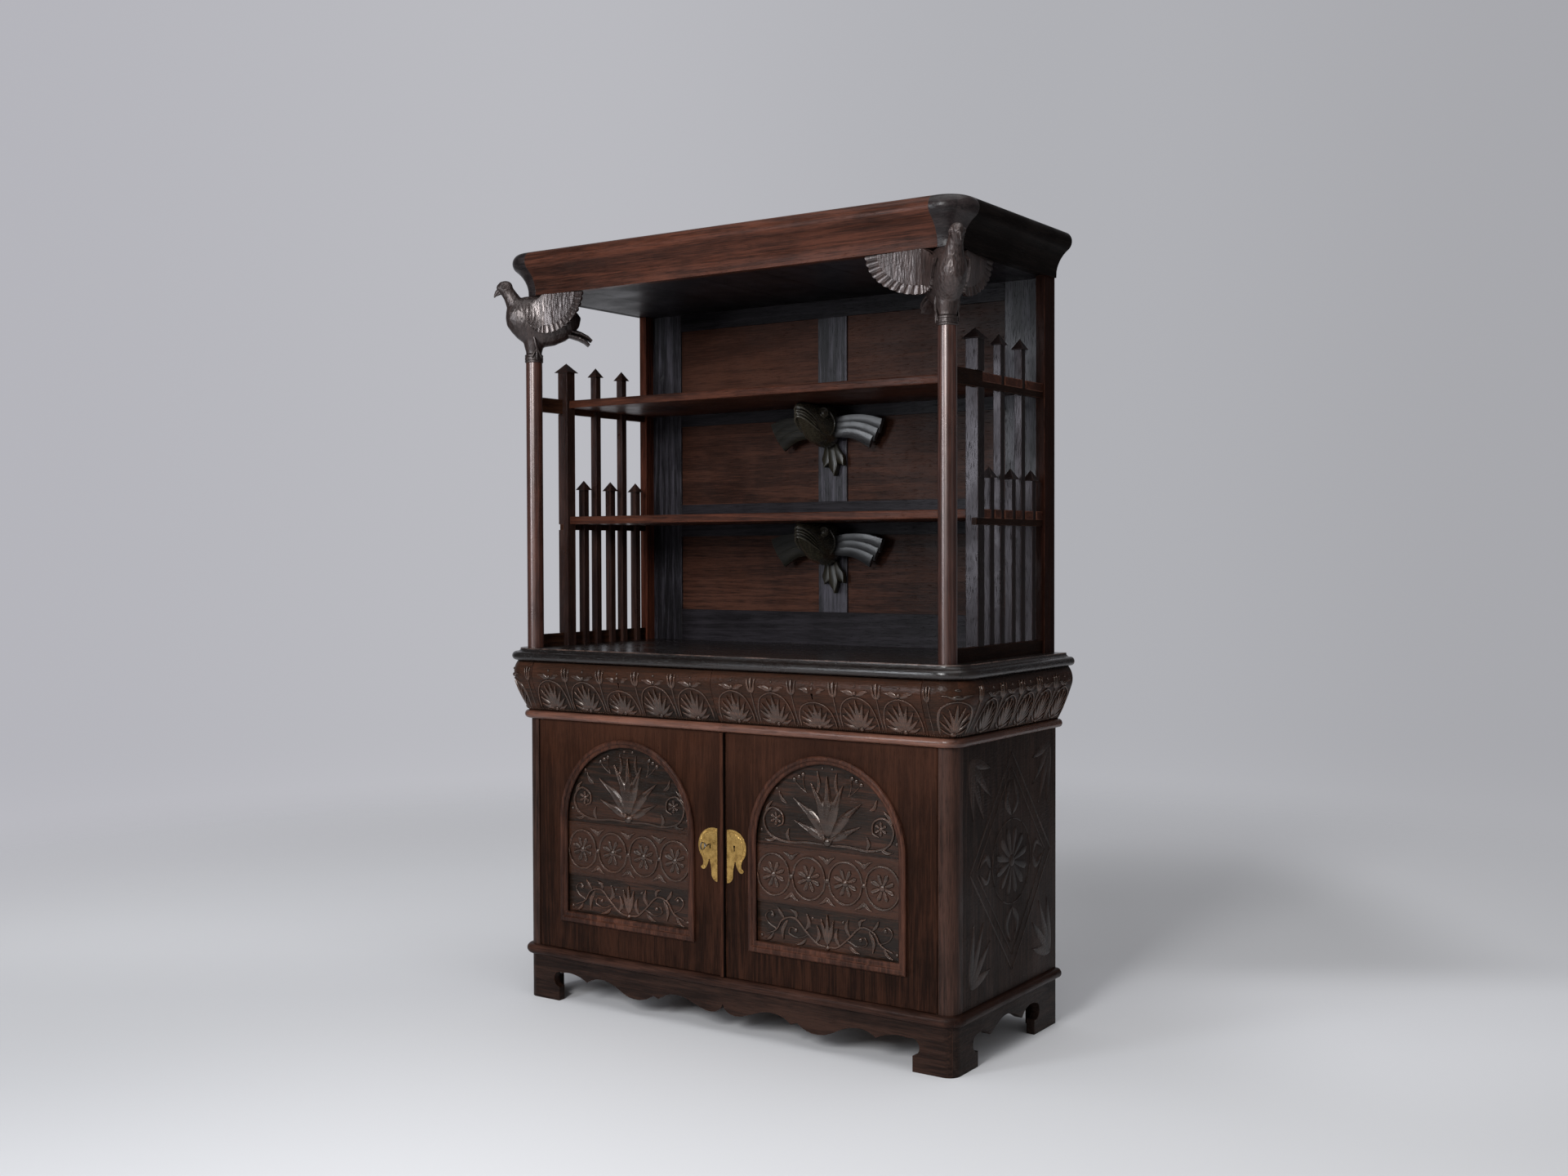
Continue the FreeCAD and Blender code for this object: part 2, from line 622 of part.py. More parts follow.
def inner_shelf():
    """Return the loose shelf inside the cupboard."""
    foot = BASE_TOP + INNER_SHELF_HEIGHT
    return box(-INNER_HALF + FIT_GAP, INNER_HALF - FIT_GAP, INNER_SHELF_SETBACK, BACK_Y - FIT_GAP,
               foot, foot + INNER_SHELF_THICKNESS)


def shelf_bearers():
    """Return the battens that carry the inner shelf."""
    head = BASE_TOP + INNER_SHELF_HEIGHT
    return both_sides(box(INNER_HALF - BEARER_WIDTH, INNER_HALF, INNER_SHELF_SETBACK, BACK_Y,
                          head - BEARER_HEIGHT, head))


def dust_board():
    """Return the board between the cupboard and the drawers."""
    return tucked_board(BACK_Y, DOOR_STAGE_TOP, FRIEZE_FOOT)


def frieze_corners():
    """Return the bulged corner blocks beside the drawers."""
    return both_sides(corner_block(frieze_profile(CORNER_RADIUS), FRIEZE_CORNER_LENGTH))


def frieze_sides():
    """Return the bulged boards along both sides."""
    profile = frieze_profile(SIDE_THICKNESS)
    return both_sides(side_length(profile, FRIEZE_CORNER_LENGTH, CARCASS_DEPTH))


def drawer_divider():
    """Return the upright between the two drawers."""
    half = DIVIDER_THICKNESS / 2
    return box(-half, half, DRAWER_FRONT_THICKNESS + DIVIDER_SETBACK, BACK_Y, FRIEZE_FOOT, COUNTER_FOOT)


def drawer_guides():
    """Return the guide rails along the outer sides of the drawers."""
    return both_sides(box(DRAWER_END, INNER_HALF, FRIEZE_CORNER_LENGTH, BACK_Y,
                          FRIEZE_FOOT, FRIEZE_FOOT + GUIDE_HEIGHT))


def drawer_front():
    """Return the bulged front of the right drawer with its keyhole."""
    profile = frieze_profile(DRAWER_FRONT_THICKNESS, DRAWER_GAP)
    front = front_length(profile, DRAWER_GAP / 2, DRAWER_END - DRAWER_GAP)
    middle = (DRAWER_GAP / 2 + DRAWER_END - DRAWER_GAP) / 2
    height = FRIEZE_FOOT + FRIEZE_HEIGHT * FRIEZE_BELLY_SHARES[1][1]
    return front.cut(keyhole(middle, height, -FRIEZE_PROUD - CUT_OVERRUN, -FRIEZE_PROUD + DRAWER_KEYHOLE_DEPTH))


def drawer_tray():
    """Return the right drawer's box behind its front."""
    x_low = DIVIDER_THICKNESS / 2 + DRAWER_SIDE_PLAY
    x_high = DRAWER_END - DRAWER_SIDE_PLAY
    y_low = DRAWER_FRONT_THICKNESS
    y_high = BACK_Y - DRAWER_BACK_GAP
    foot = FRIEZE_FOOT + DRAWER_GAP / 2
    head = COUNTER_FOOT - DRAWER_HEAD_DROP
    floor = foot + DRAWER_FLOOR_LIFT + DRAWER_FLOOR
    outer = box(x_low, x_high, y_low, y_high, foot, head)
    inner = box(x_low + DRAWER_WALL, x_high - DRAWER_WALL, y_low, y_high - DRAWER_WALL, floor, head + CUT_OVERRUN)
    below = box(x_low + DRAWER_WALL, x_high - DRAWER_WALL, y_low, y_high - DRAWER_WALL,
                foot - CUT_OVERRUN, foot + DRAWER_FLOOR_LIFT)
    return outer.cut(inner).cut(below)


def counter_top():
    """Return the counter with its moulded edge on three sides."""
    edge = [
        front_length(counter_profile, -CORNER_X, CORNER_X),
        turned(counter_profile(front_place(CORNER_X)), 90),
        side_length(counter_profile, CORNER_Y, CARCASS_DEPTH),
    ]
    edge += [mirrored(piece) for piece in edge[1:]]
    slab = box(-CORNER_X, CORNER_X, CORNER_Y, CARCASS_DEPTH, COUNTER_FOOT, COUNTER_TOP)
    return fused([slab, *edge])


def column():
    """Return the right column with the tenon that enters the capital."""
    shaft = Part.makeCylinder(COLUMN_RADIUS, COLUMN_HEIGHT, V(COLUMN_X, COLUMN_SETBACK, COUNTER_TOP))
    tenon = Part.makeCylinder(COLUMN_TENON_RADIUS, COLLAR_HEIGHT + TENON_REACH,
                              V(COLUMN_X, COLUMN_SETBACK, COLLAR_FOOT))
    return fused([shaft, tenon])


def column_collars():
    """Return the turned rings between the columns and the capitals."""
    points = [(COLLAR_RADIUS - depth * COLLAR_GROOVE_DEPTH, COLLAR_FOOT + rise * COLLAR_HEIGHT)
              for rise, depth in COLLAR_SHARES]
    points += [(COLUMN_TENON_RADIUS, COLLAR_FOOT + COLLAR_HEIGHT), (COLUMN_TENON_RADIUS, COLLAR_FOOT)]
    face = outline(lambda out, z: V(COLUMN_X + out, COLUMN_SETBACK, z), points[0],
                   [("line", [point]) for point in points[1:]])
    return both_sides(face.revolve(V(COLUMN_X, COLUMN_SETBACK, 0), V(0, 0, 1), 360))


def ring_section(middle, along, half_width, half_height):
    """Return a faceted oval wire round a point, square to a direction in the XZ plane."""
    across = V(0, half_width, 0)
    up = V(-along.z, 0, along.x).normalize() * half_height
    turns = [2 * math.pi * index / RING_FACET_COUNT for index in range(RING_FACET_COUNT)]
    points = [middle + across * math.cos(turn) + up * math.sin(turn) for turn in turns]
    return Part.makePolygon([*points, points[0]])


def egg(middle, half_length, half_width, half_height):
    """Return a rounded body along X, lofted straight from ring to ring."""
    rings = []
    for share in EGG_SHARES:
        girth = math.sqrt(1 - share * share)
        rings.append(ring_section(middle + V(share * half_length, 0, 0), V(1, 0, 0),
                                  girth * half_width, girth * half_height))
    return Part.makeLoft(rings, True, True)


def bird_body():
    """Return the right bird capital: breast, neck, head, beak and tail, facing out over the corner."""
    torso = egg(V(-BIRD_MIDDLE_SETBACK, 0, BIRD_MIDDLE_RISE),
                BIRD_LENGTH / 2, BIRD_HALF_WIDTH, BIRD_HALF_HEIGHT)
    stem = Part.makeCylinder(BIRD_NECK_RADIUS, BIRD_MIDDLE_RISE)
    sections = []
    direction = V(HEAD_REACH, 0, HEAD_RISE)
    for reach, rise, width in THROAT_SHARES:
        middle = V(reach * HEAD_REACH, 0, rise * HEAD_RISE)
        sections.append(ring_section(middle, direction, width * BIRD_HALF_WIDTH, width * BIRD_HALF_WIDTH))
    throat = Part.makeLoft(sections, True, True)
    head = egg(V(HEAD_REACH, 0, HEAD_RISE), HEAD_LENGTH, HEAD_HALF_WIDTH, HEAD_LENGTH)
    beak_line = V(BEAK_REACH - HEAD_REACH, 0, BEAK_RISE - HEAD_RISE)
    beak = Part.makeCone(BEAK_ROOT_RADIUS, BEAK_TIP_RADIUS, beak_line.Length / 2,
                         V(HEAD_REACH, 0, HEAD_RISE) + beak_line / 2, beak_line)
    tail = Part.makeLoft([tail_section(*shares) for shares in TAIL_SHARES], True, True)
    bird = fused([torso, stem, throat, head, beak, tail])
    under_soffit = box(-TAIL_REACH - CUT_OVERRUN, 0, -BIRD_LENGTH, BIRD_LENGTH,
                       SOFFIT - CAPITAL_FOOT, SOFFIT)
    bird = bird.cut(under_soffit)
    bird.rotate(V(0, 0, 0), V(0, 0, 1), -45)
    bird.translate(V(COLUMN_X, COLUMN_SETBACK, CAPITAL_FOOT))
    cornice = fused([front_length(cornice_profile, 0, CORNER_X),
                     turned(cornice_profile(front_place(CORNER_X)), 90)])
    bore = Part.makeCylinder(COLUMN_TENON_RADIUS, TENON_REACH, V(COLUMN_X, COLUMN_SETBACK, CAPITAL_FOOT))
    return max(bird.cut(cornice).cut(bore).Solids, key=lambda solid: solid.Volume)


def tail_section(reach, rise, width, thickness):
    """Return a flat oblong wire across the bird's tail."""
    half = width * TAIL_HALF_WIDTH
    x = -reach * TAIL_REACH
    low = rise * HEAD_RISE - thickness * TAIL_THICKNESS / 2
    high = low + thickness * TAIL_THICKNESS
    return Part.makePolygon([V(x, -half, low), V(x, half, low), V(x, half, high), V(x, -half, high),
                             V(x, -half, low)])


def front_wing(body):
    """Return the right bird's wing along the front: a fan of feathers cut to fit the body."""
    shoulder = COLUMN_X - WING_SHOULDER_INSET
    face_y = COLUMN_SETBACK - WING_FACE_SETBACK

    def on_fan(degrees, stretch=1.0):
        turn = math.radians(degrees)
        return (shoulder - stretch * WING_SPAN * math.cos(turn), SOFFIT - stretch * WING_DROP * math.sin(turn))

    steps = []
    feather = WING_SWEEP_DEGREES / WING_FEATHER_COUNT
    for index in range(WING_FEATHER_COUNT):
        middle = on_fan((index + 0.5) * feather, 1 + WING_SCALLOP_SHARE)
        steps.append(("arc", [middle, on_fan((index + 1) * feather)]))
    steps.append(("line", [(COLUMN_X, SOFFIT)]))
    face = outline(lambda x, z: V(x, face_y, z), on_fan(0), steps)
    fan = face.extrude(V(0, WING_THICKNESS, 0)).cut(body)
    below = box(0, HALF_WIDTH, face_y, face_y + WING_THICKNESS, SOFFIT - 2 * WING_DROP, SOFFIT)
    return max(fan.common(below).Solids, key=lambda solid: solid.Volume)


def side_wing(wing):
    """Return the front wing's twin along the side, mirrored about the bird's heading."""
    return wing.mirror(V(COLUMN_X, COLUMN_SETBACK, 0), V(1, 1, 0))


def pyramid(x, y, foot, size, height):
    """Return a low pyramid on a square foot."""
    half = size / 2
    corners = [V(x + dx * half, y + dy * half, foot) for dx, dy in ((-1, -1), (1, -1), (1, 1), (-1, 1))]
    tip = V(x, y, foot + height)
    faces = [Part.Face(Part.makePolygon([*corners, corners[0]]))]
    for index, corner in enumerate(corners):
        following = corners[(index + 1) % len(corners)]
        faces.append(Part.Face(Part.makePolygon([corner, following, tip, corner])))
    return Part.Solid(Part.Shell(faces))


def post_prism(y, size, height):
    """Return the plain shaft of a gallery post, which also notches the shelves."""
    half = size / 2
    return box(RAIL_X - half, RAIL_X + half, y - half, y + half, COUNTER_TOP, COUNTER_TOP + height)


def capped_post(y, size, height, cap_size, laps):
    """Return a square gallery post with a pyramid cap, half lapped over rails between the given levels."""
    cap = pyramid(RAIL_X, y, COUNTER_TOP + height, cap_size, CAP_HEIGHT)
    post = fused([post_prism(y, size, height), cap])
    half = size / 2
    for foot, head in laps:
        post = post.cut(box(RAIL_X, RAIL_X + size, y - half, y + half, foot, head))
    return post


def lap_levels(upper_rail_head):
    """Return the foot and head of each rail behind a tall post, from the counter up."""
    return [
        (COUNTER_TOP, COUNTER_TOP + BOTTOM_RAIL_HEIGHT),
        (LOWER_SHELF_FOOT - SHELF_RAIL_HEIGHT, LOWER_SHELF_FOOT),
        (UPPER_SHELF_FOOT - SHELF_RAIL_HEIGHT, upper_rail_head),
    ]


def bottom_side_rail():
    """Return the right rail on the counter, from the column to the back post."""
    return box(RAIL_X, RAIL_OUTER, COLUMN_SETBACK, BACK_POST_Y, COUNTER_TOP, COUNTER_TOP + BOTTOM_RAIL_HEIGHT)


def upper_side_rail():
    """Return the right upper rail: full height up to the gate post, then lowered under the shelf end."""
    gate_back = GATE_POST_PLACE + GATE_POST_SIZE / 2
    foot = UPPER_SHELF_FOOT - SHELF_RAIL_HEIGHT
    return fused([
        box(RAIL_X, RAIL_OUTER, COLUMN_SETBACK, gate_back, foot, foot + UPPER_RAIL_HEIGHT),
        box(RAIL_X, RAIL_OUTER, gate_back, BACK_POST_Y, foot, UPPER_SHELF_FOOT),
    ])


def lower_bearer():
    """Return the right bearer of the lower shelf, from the gate post to the back post."""
    gate_front = GATE_POST_PLACE - GATE_POST_SIZE / 2
    return box(RAIL_X, RAIL_OUTER, gate_front, BACK_POST_Y, LOWER_SHELF_FOOT - SHELF_RAIL_HEIGHT,
               LOWER_SHELF_FOOT)


def back_post():
    """Return the right back post of the upper stage."""
    return box(BACK_POST_INNER, BACK_POST_OUTER, BACK_POST_Y, CARCASS_DEPTH, COUNTER_TOP, SOFFIT)


def display_shelf(foot, posts):
    """Return a display shelf, notched round the gallery posts."""
    shelf = box(-RAIL_OUTER, RAIL_OUTER, SHELF_SETBACK, BACK_FRAME_Y, foot, foot + SHELF_THICKNESS)
    front_edges = [edge for edge in shelf.Edges
                   if edge.BoundBox.YMax < SHELF_SETBACK + SHELF_ROUNDING and edge.Length > RAIL_OUTER]
    shelf = shelf.makeFillet(SHELF_ROUNDING, front_edges)
    for post in posts:
        bounds = post.BoundBox
        notch = box(bounds.XMin, bounds.XMax + CUT_OVERRUN, bounds.YMin, bounds.YMax,
                    foot - CUT_OVERRUN, foot + SHELF_THICKNESS + CUT_OVERRUN)
        shelf = shelf.cut(notch).cut(mirrored(notch))
    return shelf


def back_rail_levels():
    """Return the foot and head of each rail of the panelled back, from the bottom up."""
    return [
        (COUNTER_TOP, COUNTER_TOP + BOTTOM_BACK_RAIL_HEIGHT),
        (COUNTER_TOP + LOWER_CROSS_RAIL_HEIGHT, COUNTER_TOP + LOWER_CROSS_RAIL_HEIGHT + CROSS_RAIL_HEIGHT),
        (COUNTER_TOP + UPPER_CROSS_RAIL_HEIGHT, COUNTER_TOP + UPPER_CROSS_RAIL_HEIGHT + CROSS_RAIL_HEIGHT),
        (SOFFIT - TOP_RAIL_HEIGHT, SOFFIT),
    ]


def back_panel_boxes():
    """Return the six panels of the back, with the tongues that enter the frame."""
    levels = back_rail_levels()
    front = BACK_FRAME_Y + BACK_PANEL_RECESS
    pieces = []
    for (_, low), (high, _) in zip(levels[:-1], levels[1:]):
        for x_low, x_high in ((-STILE_INNER, -MUNTIN_WIDTH / 2), (MUNTIN_WIDTH / 2, STILE_INNER)):
            pieces.append(box(x_low - PANEL_TONGUE, x_high + PANEL_TONGUE, front, front + BACK_PANEL_THICKNESS,
                              low - PANEL_TONGUE, high + PANEL_TONGUE))
    return pieces


def back_frame():
    """Return the stiles, rails and muntins of the back, grooved for the panels."""
    panels = Part.makeCompound(back_panel_boxes())
    stile = box(STILE_INNER, BACK_POST_INNER, BACK_FRAME_Y, CARCASS_DEPTH, COUNTER_TOP, SOFFIT)
    levels = back_rail_levels()
    rails = [box(-STILE_INNER, STILE_INNER, BACK_FRAME_Y, CARCASS_DEPTH, low, high) for low, high in levels]
    half = MUNTIN_WIDTH / 2
    muntins = [box(-half, half, BACK_FRAME_Y, CARCASS_DEPTH, low, high)
               for (_, low), (high, _) in zip(levels[:-1], levels[1:])]
    stiles = both_sides(stile.cut(panels))
    return (stiles, Part.makeCompound([rail.cut(panels) for rail in rails]),
            Part.makeCompound([muntin.cut(panels) for muntin in muntins]))


def fish_bracket(shelf_foot):
    """Return a carved fish that carries the middle of a shelf with its head."""
    sections = []
    for reach, drop, height, width in FISH_SHARES:
        middle = V(-reach * FISH_REACH, 0, -drop * FISH_DEPTH)
        sections.append(ring_section(middle, V(1, 0, 0), width * FISH_HALF_WIDTH, height * FISH_DEPTH))
    head = Part.makeLoft(sections, True, True)
    head = head.cut(mouth_wedge())
    eye_x = -FISH_EYE_SHARES[0] * FISH_REACH
    eye_z = -FISH_EYE_SHARES[1] * FISH_DEPTH
    eyes = Part.makeCylinder(FISH_EYE_RADIUS, 2 * FISH_HALF_WIDTH, V(eye_x, -FISH_HALF_WIDTH, eye_z), V(0, 1, 0))
    fin = fish_fin()
    fish = fused([head, eyes, fin, fin.mirror(V(0, 0, 0), V(0, 1, 0)), fish_tail()])
    above = box(-2 * FISH_REACH, FISH_REACH, -2 * FIN_SPREAD, 2 * FIN_SPREAD, 0, FISH_REACH)
    behind = box(0, FISH_REACH, -2 * FIN_SPREAD, 2 * FIN_SPREAD, -2 * FISH_TAIL_DROP, FISH_REACH)
    fish = fish.cut(above).cut(behind)
    fish.rotate(V(0, 0, 0), V(0, 0, 1), 90)
    fish.translate(V(0, BACK_FRAME_Y, shelf_foot))
    return fish


def mouth_wedge():
    """Return the open mouth as a cutting wedge."""
    tip = V(-MOUTH_END_SHARES[0] * FISH_REACH, -FISH_HALF_WIDTH, -MOUTH_END_SHARES[1] * FISH_DEPTH)
    lip = V(-MOUTH_START_SHARES[0] * FISH_REACH, -FISH_HALF_WIDTH, -MOUTH_START_SHARES[1] * FISH_DEPTH)
    gape = V(MOUTH_GAPE / 2, 0, MOUTH_GAPE / 2)
    face = Part.Face(Part.makePolygon([tip, lip + gape, lip - gape, tip]))
    return face.extrude(V(0, 2 * FISH_HALF_WIDTH, 0))


def fish_fin():
    """Return one spread fin, thickest at its root and swept forward from the back."""
    points = scaled(FIN_SHARES, FIN_SPREAD, -FISH_DEPTH)
    root = scaled([FIN_ROOT_SHARE], FIN_SPREAD, -FISH_DEPTH)[0]
    face = outline(lambda across, z: V(-FIN_FORWARD, across, z), points[0], [
        ("curve", points[1:4]),
        ("line", [points[4]]),
        ("line", [points[5]]),
        ("line", [points[6]]),
        ("line", [root]),
        ("line", [(0, root[1])]),
        ("line", [(0, points[0][1])]),
    ])
    return face.extrude(V(-FIN_THICKNESS, 0, 0))


def fish_tail():
    """Return the tail that hangs against the back below the head."""
    right = scaled(FISH_TAIL_SHARES, FISH_TAIL_WIDTH, -FISH_TAIL_DROP)
    left = [(-across, z) for across, z in reversed(right[:-1])]
    head = -FISH_DEPTH / 2
    face = outline(lambda across, z: V(0, across, z), (right[0][0], head), [
        ("line", [right[0]]),
        ("curve", right[1:3]),
        ("curve", right[3:]),
        ("curve", left[:2]),
        ("curve", left[2:]),
        ("line", [(-right[0][0], head)]),
    ])
    return face.extrude(V(-FISH_TAIL_THICKNESS, 0, 0))


def cornice_corner_blocks():
    """Return the two rounded corner blocks of the cornice."""
    return both_sides(corner_block(cornice_profile, CORNICE_CORNER_LENGTH))


def cornice_sides():
    """Return the side lengths of the cornice and its plain back board."""
    side = side_length(cornice_profile, CORNICE_CORNER_LENGTH, CARCASS_DEPTH)
    back = box(-INNER_HALF, INNER_HALF, BACK_Y, CARCASS_DEPTH, SOFFIT + SOFFIT_THICKNESS,
               CORNICE_TOP - TOP_BOARD_DROP)
    return Part.makeCompound([*both_sides(side).Solids, back])


def soffit_boards():
    """Return the ceiling of the display bay: one front board and boards that run front to back."""
    head = SOFFIT + SOFFIT_THICKNESS
    front = tucked_board(SOFFIT_FRONT_EDGE, SOFFIT, head)
    rest = boards(SOFFIT_BOARD_COUNT, -INNER_HALF, INNER_HALF, SOFFIT_FRONT_EDGE, CARCASS_DEPTH, SOFFIT, head)
    return Part.makeCompound([front, *rest.Solids])


def top_boards():
    """Return the boards that close the cornice from above, side by side from front to back."""
    head = CORNICE_TOP - TOP_BOARD_DROP
    width = (BACK_Y - SIDE_THICKNESS) / TOP_BOARD_COUNT
    front_edge = SIDE_THICKNESS + width
    front = tucked_board(front_edge, head - TOP_BOARD_THICKNESS, head)
    rest = boards(TOP_BOARD_COUNT - 1, -INNER_HALF, INNER_HALF, front_edge, BACK_Y,
                  head - TOP_BOARD_THICKNESS, head, along="y")
    return Part.makeCompound([front, *rest.Solids])


def arch_face(y, radius, foot):
    """Return an arched face in a plane across the door."""
    spring = BASE_TOP + ARCH_SPRING_HEIGHT
    return outline(lambda x, z: V(x, y, z), (ARCH_CENTRE - radius, foot), [
        ("line", [(ARCH_CENTRE - radius, spring)]),
        ("arc", [(ARCH_CENTRE, spring + radius), (ARCH_CENTRE + radius, spring)]),
        ("line", [(ARCH_CENTRE + radius, foot)]),
    ])


def opening_face(y):
    """Return the arched opening of the door leaf."""
    radius = ARCH_RADIUS - ARCH_MOULDING_WIDTH + ARCH_OPENING_LAP
    foot = BASE_TOP + ARCH_FOOT_HEIGHT + ARCH_FOOT_WIDTH - ARCH_OPENING_LAP
    return arch_face(y, radius, foot)


def keyhole(x, z, y_low, y_high):
    """Return a keyhole as a cutting tool through a range of depth."""
    half = KEYHOLE_SLOT_WIDTH / 2
    depth = y_high - y_low
    return fused([
        Part.makeCylinder(KEYHOLE_RADIUS, depth, V(x, y_low, z), V(0, 1, 0)),
        box(x - half, x + half, y_low, y_high, z - KEYHOLE_SLOT_LENGTH, z),
    ])


def door_leaf(inner_edge, keyhole_x):
    """Return a door leaf on the right, from its inner edge to its rounded hinge edge."""
    outer = PIN_X + DOOR_PIN_INSET
    leaf = box(inner_edge, outer, 0, DOOR_THICKNESS, DOOR_FOOT, DOOR_HEAD)
    hinge_edge = [edge for edge in leaf.Edges
                  if edge.BoundBox.XMin > outer - DOOR_PIN_INSET and edge.BoundBox.YMax < DOOR_PIN_INSET
                  and edge.Length > DOOR_THICKNESS]
    leaf = leaf.makeFillet(DOOR_PIN_INSET, hinge_edge)
    leaf = leaf.cut(opening_face(0).extrude(V(0, DOOR_THICKNESS, 0)))
    leaf = leaf.cut(keyhole(keyhole_x, KEYHOLE_Z, -CUT_OVERRUN, DOOR_THICKNESS + CUT_OVERRUN))
    bore_radius = DOOR_PIN_RADIUS + DOOR_PIN_PLAY
    bore_depth = DOOR_PIN_REACH + DOOR_PIN_PLAY
    for foot in (DOOR_FOOT, DOOR_HEAD - bore_depth):
        leaf = leaf.cut(Part.makeCylinder(bore_radius, bore_depth, V(PIN_X, DOOR_PIN_INSET, foot)))
    return leaf


def door_pins():
    """Return the four steel pins on which the doors turn, set in the rails above and below."""
    length = DOOR_END_GAP + DOOR_PIN_REACH
    low = Part.makeCylinder(DOOR_PIN_RADIUS, length, V(PIN_X, DOOR_PIN_INSET, BASE_TOP))
    high = Part.makeCylinder(DOOR_PIN_RADIUS, length, V(PIN_X, DOOR_PIN_INSET, DOOR_STAGE_TOP - length))
    return Part.makeCompound([*both_sides(low).Solids, *both_sides(high).Solids])


def arch_ring(width, foot_width, proud, easing):
    """Return one step of the moulding round the arch, with its front edges eased."""
    foot = BASE_TOP + ARCH_FOOT_HEIGHT
    outer = arch_face(0, ARCH_RADIUS, foot).extrude(V(0, -proud, 0))
    inner = arch_face(CUT_OVERRUN, ARCH_RADIUS - width, foot + foot_width)
    ring = outer.cut(inner.extrude(V(0, -proud - 2 * CUT_OVERRUN, 0)))
    front_edges = [edge for edge in ring.Edges if edge.BoundBox.YMax < -proud / 2]
    return ring.makeChamfer(easing, front_edges)


def arch_moulding():
    """Return the moulding round the arch of the right door: a ridge along the outside of a low band."""
    ridge_foot = ARCH_FOOT_WIDTH * ARCH_RIDGE_WIDTH / ARCH_MOULDING_WIDTH
    band = arch_ring(ARCH_MOULDING_WIDTH, ARCH_FOOT_WIDTH, ARCH_BAND_PROUD, ARCH_BAND_EASING)
    ridge = arch_ring(ARCH_RIDGE_WIDTH, ridge_foot, ARCH_MOULDING_PROUD, ARCH_RIDGE_EASING)
    return fused([band, ridge])


def arched_panel():
    """Return the three level boards inside the arch of the right door; the middle one stands proud."""
    back = PANEL_RECESS + PANEL_THICKNESS
    arch = opening_face(0).extrude(V(0, back, 0))
    low = BASE_TOP + MIDDLE_BOARD_FOOT
    high = BASE_TOP + MIDDLE_BOARD_HEAD
    pieces = []
    for foot, head, front in ((0, low, PANEL_RECESS), (low, high, PANEL_RECESS - MIDDLE_BOARD_PROUD),
                              (high, DOOR_HEAD, PANEL_RECESS)):
        pieces.append(arch.common(box(0, PIN_X, front, back, foot, head)))
    return Part.makeCompound(pieces)


def meeting_strip():
    """Return the half round strip on the left door's meeting edge."""
    edge = DOOR_MEETING_PLACE - DOOR_MEETING_GAP / 2 - STRIP_EDGE_INSET
    face = outline(lambda x, y: V(x, y, DOOR_FOOT), (edge - STRIP_WIDTH, 0), [
        ("arc", [(edge - STRIP_WIDTH / 2, -STRIP_PROUD), (edge, 0)]),
    ])
    return face.extrude(V(0, 0, DOOR_HEAD - DOOR_FOOT))


def lock_plate(edge):
    """Return a brass plate on the right door's front, from its straight inner edge."""
    def place(out, down):
        return V(edge + out, 0, PLATE_HEAD - down)

    def at(shares):
        return scaled(shares, PLATE_WIDTH, PLATE_HEIGHT)

    steps = [("arc", at(PLATE_LOBE_SHARES[0])), ("arc", at(PLATE_LOBE_SHARES[1])),
             ("curve", at(PLATE_CURL_SHARES))]
    steps += [("arc", at(arc)) for arc in PLATE_TIP_SHARES + PLATE_LEG_SHARES]
    plate = outline(place, (0, 0), steps).extrude(V(0, -PLATE_THICKNESS, 0))
    return plate.cut(keyhole(edge + KEYHOLE_OUT, KEYHOLE_Z, -PLATE_THICKNESS - CUT_OVERRUN, CUT_OVERRUN))


def lock_case():
    """Return the iron case behind the left door, open towards the door, with a slot for its bolt."""
    x_high = DOOR_MEETING_PLACE - LOCK_EDGE_INSET
    x_low = x_high - LOCK_WIDTH
    middle = KEYHOLE_Z
    y_high = DOOR_THICKNESS + LOCK_DEPTH
    case = box(x_low, x_high, DOOR_THICKNESS, y_high, middle - LOCK_HEIGHT / 2, middle + LOCK_HEIGHT / 2)
    hollow = box(x_low + LOCK_WALL, x_high - LOCK_WALL, DOOR_THICKNESS - CUT_OVERRUN, y_high - LOCK_WALL,
                 middle - LOCK_HEIGHT / 2 + LOCK_WALL, middle + LOCK_HEIGHT / 2 - LOCK_WALL)
    bounds = lock_bolt().BoundBox
    slot = box(x_high - LOCK_WALL - CUT_OVERRUN, x_high + CUT_OVERRUN, bounds.YMin - BOLT_PLAY,
               bounds.YMax + BOLT_PLAY, bounds.ZMin - BOLT_PLAY, bounds.ZMax + BOLT_PLAY)
    return case.cut(hollow).cut(slot)


def lock_bolt():
    """Return the sliding bolt inside the lock case."""
    x_high = DOOR_MEETING_PLACE - LOCK_EDGE_INSET
    y_high = DOOR_THICKNESS + LOCK_DEPTH - LOCK_WALL - BOLT_PLAY
    foot = KEYHOLE_Z + BOLT_RISE
    return box(x_high - BOLT_LENGTH, x_high, y_high - BOLT_THICKNESS, y_high, foot, foot + BOLT_HEIGHT)


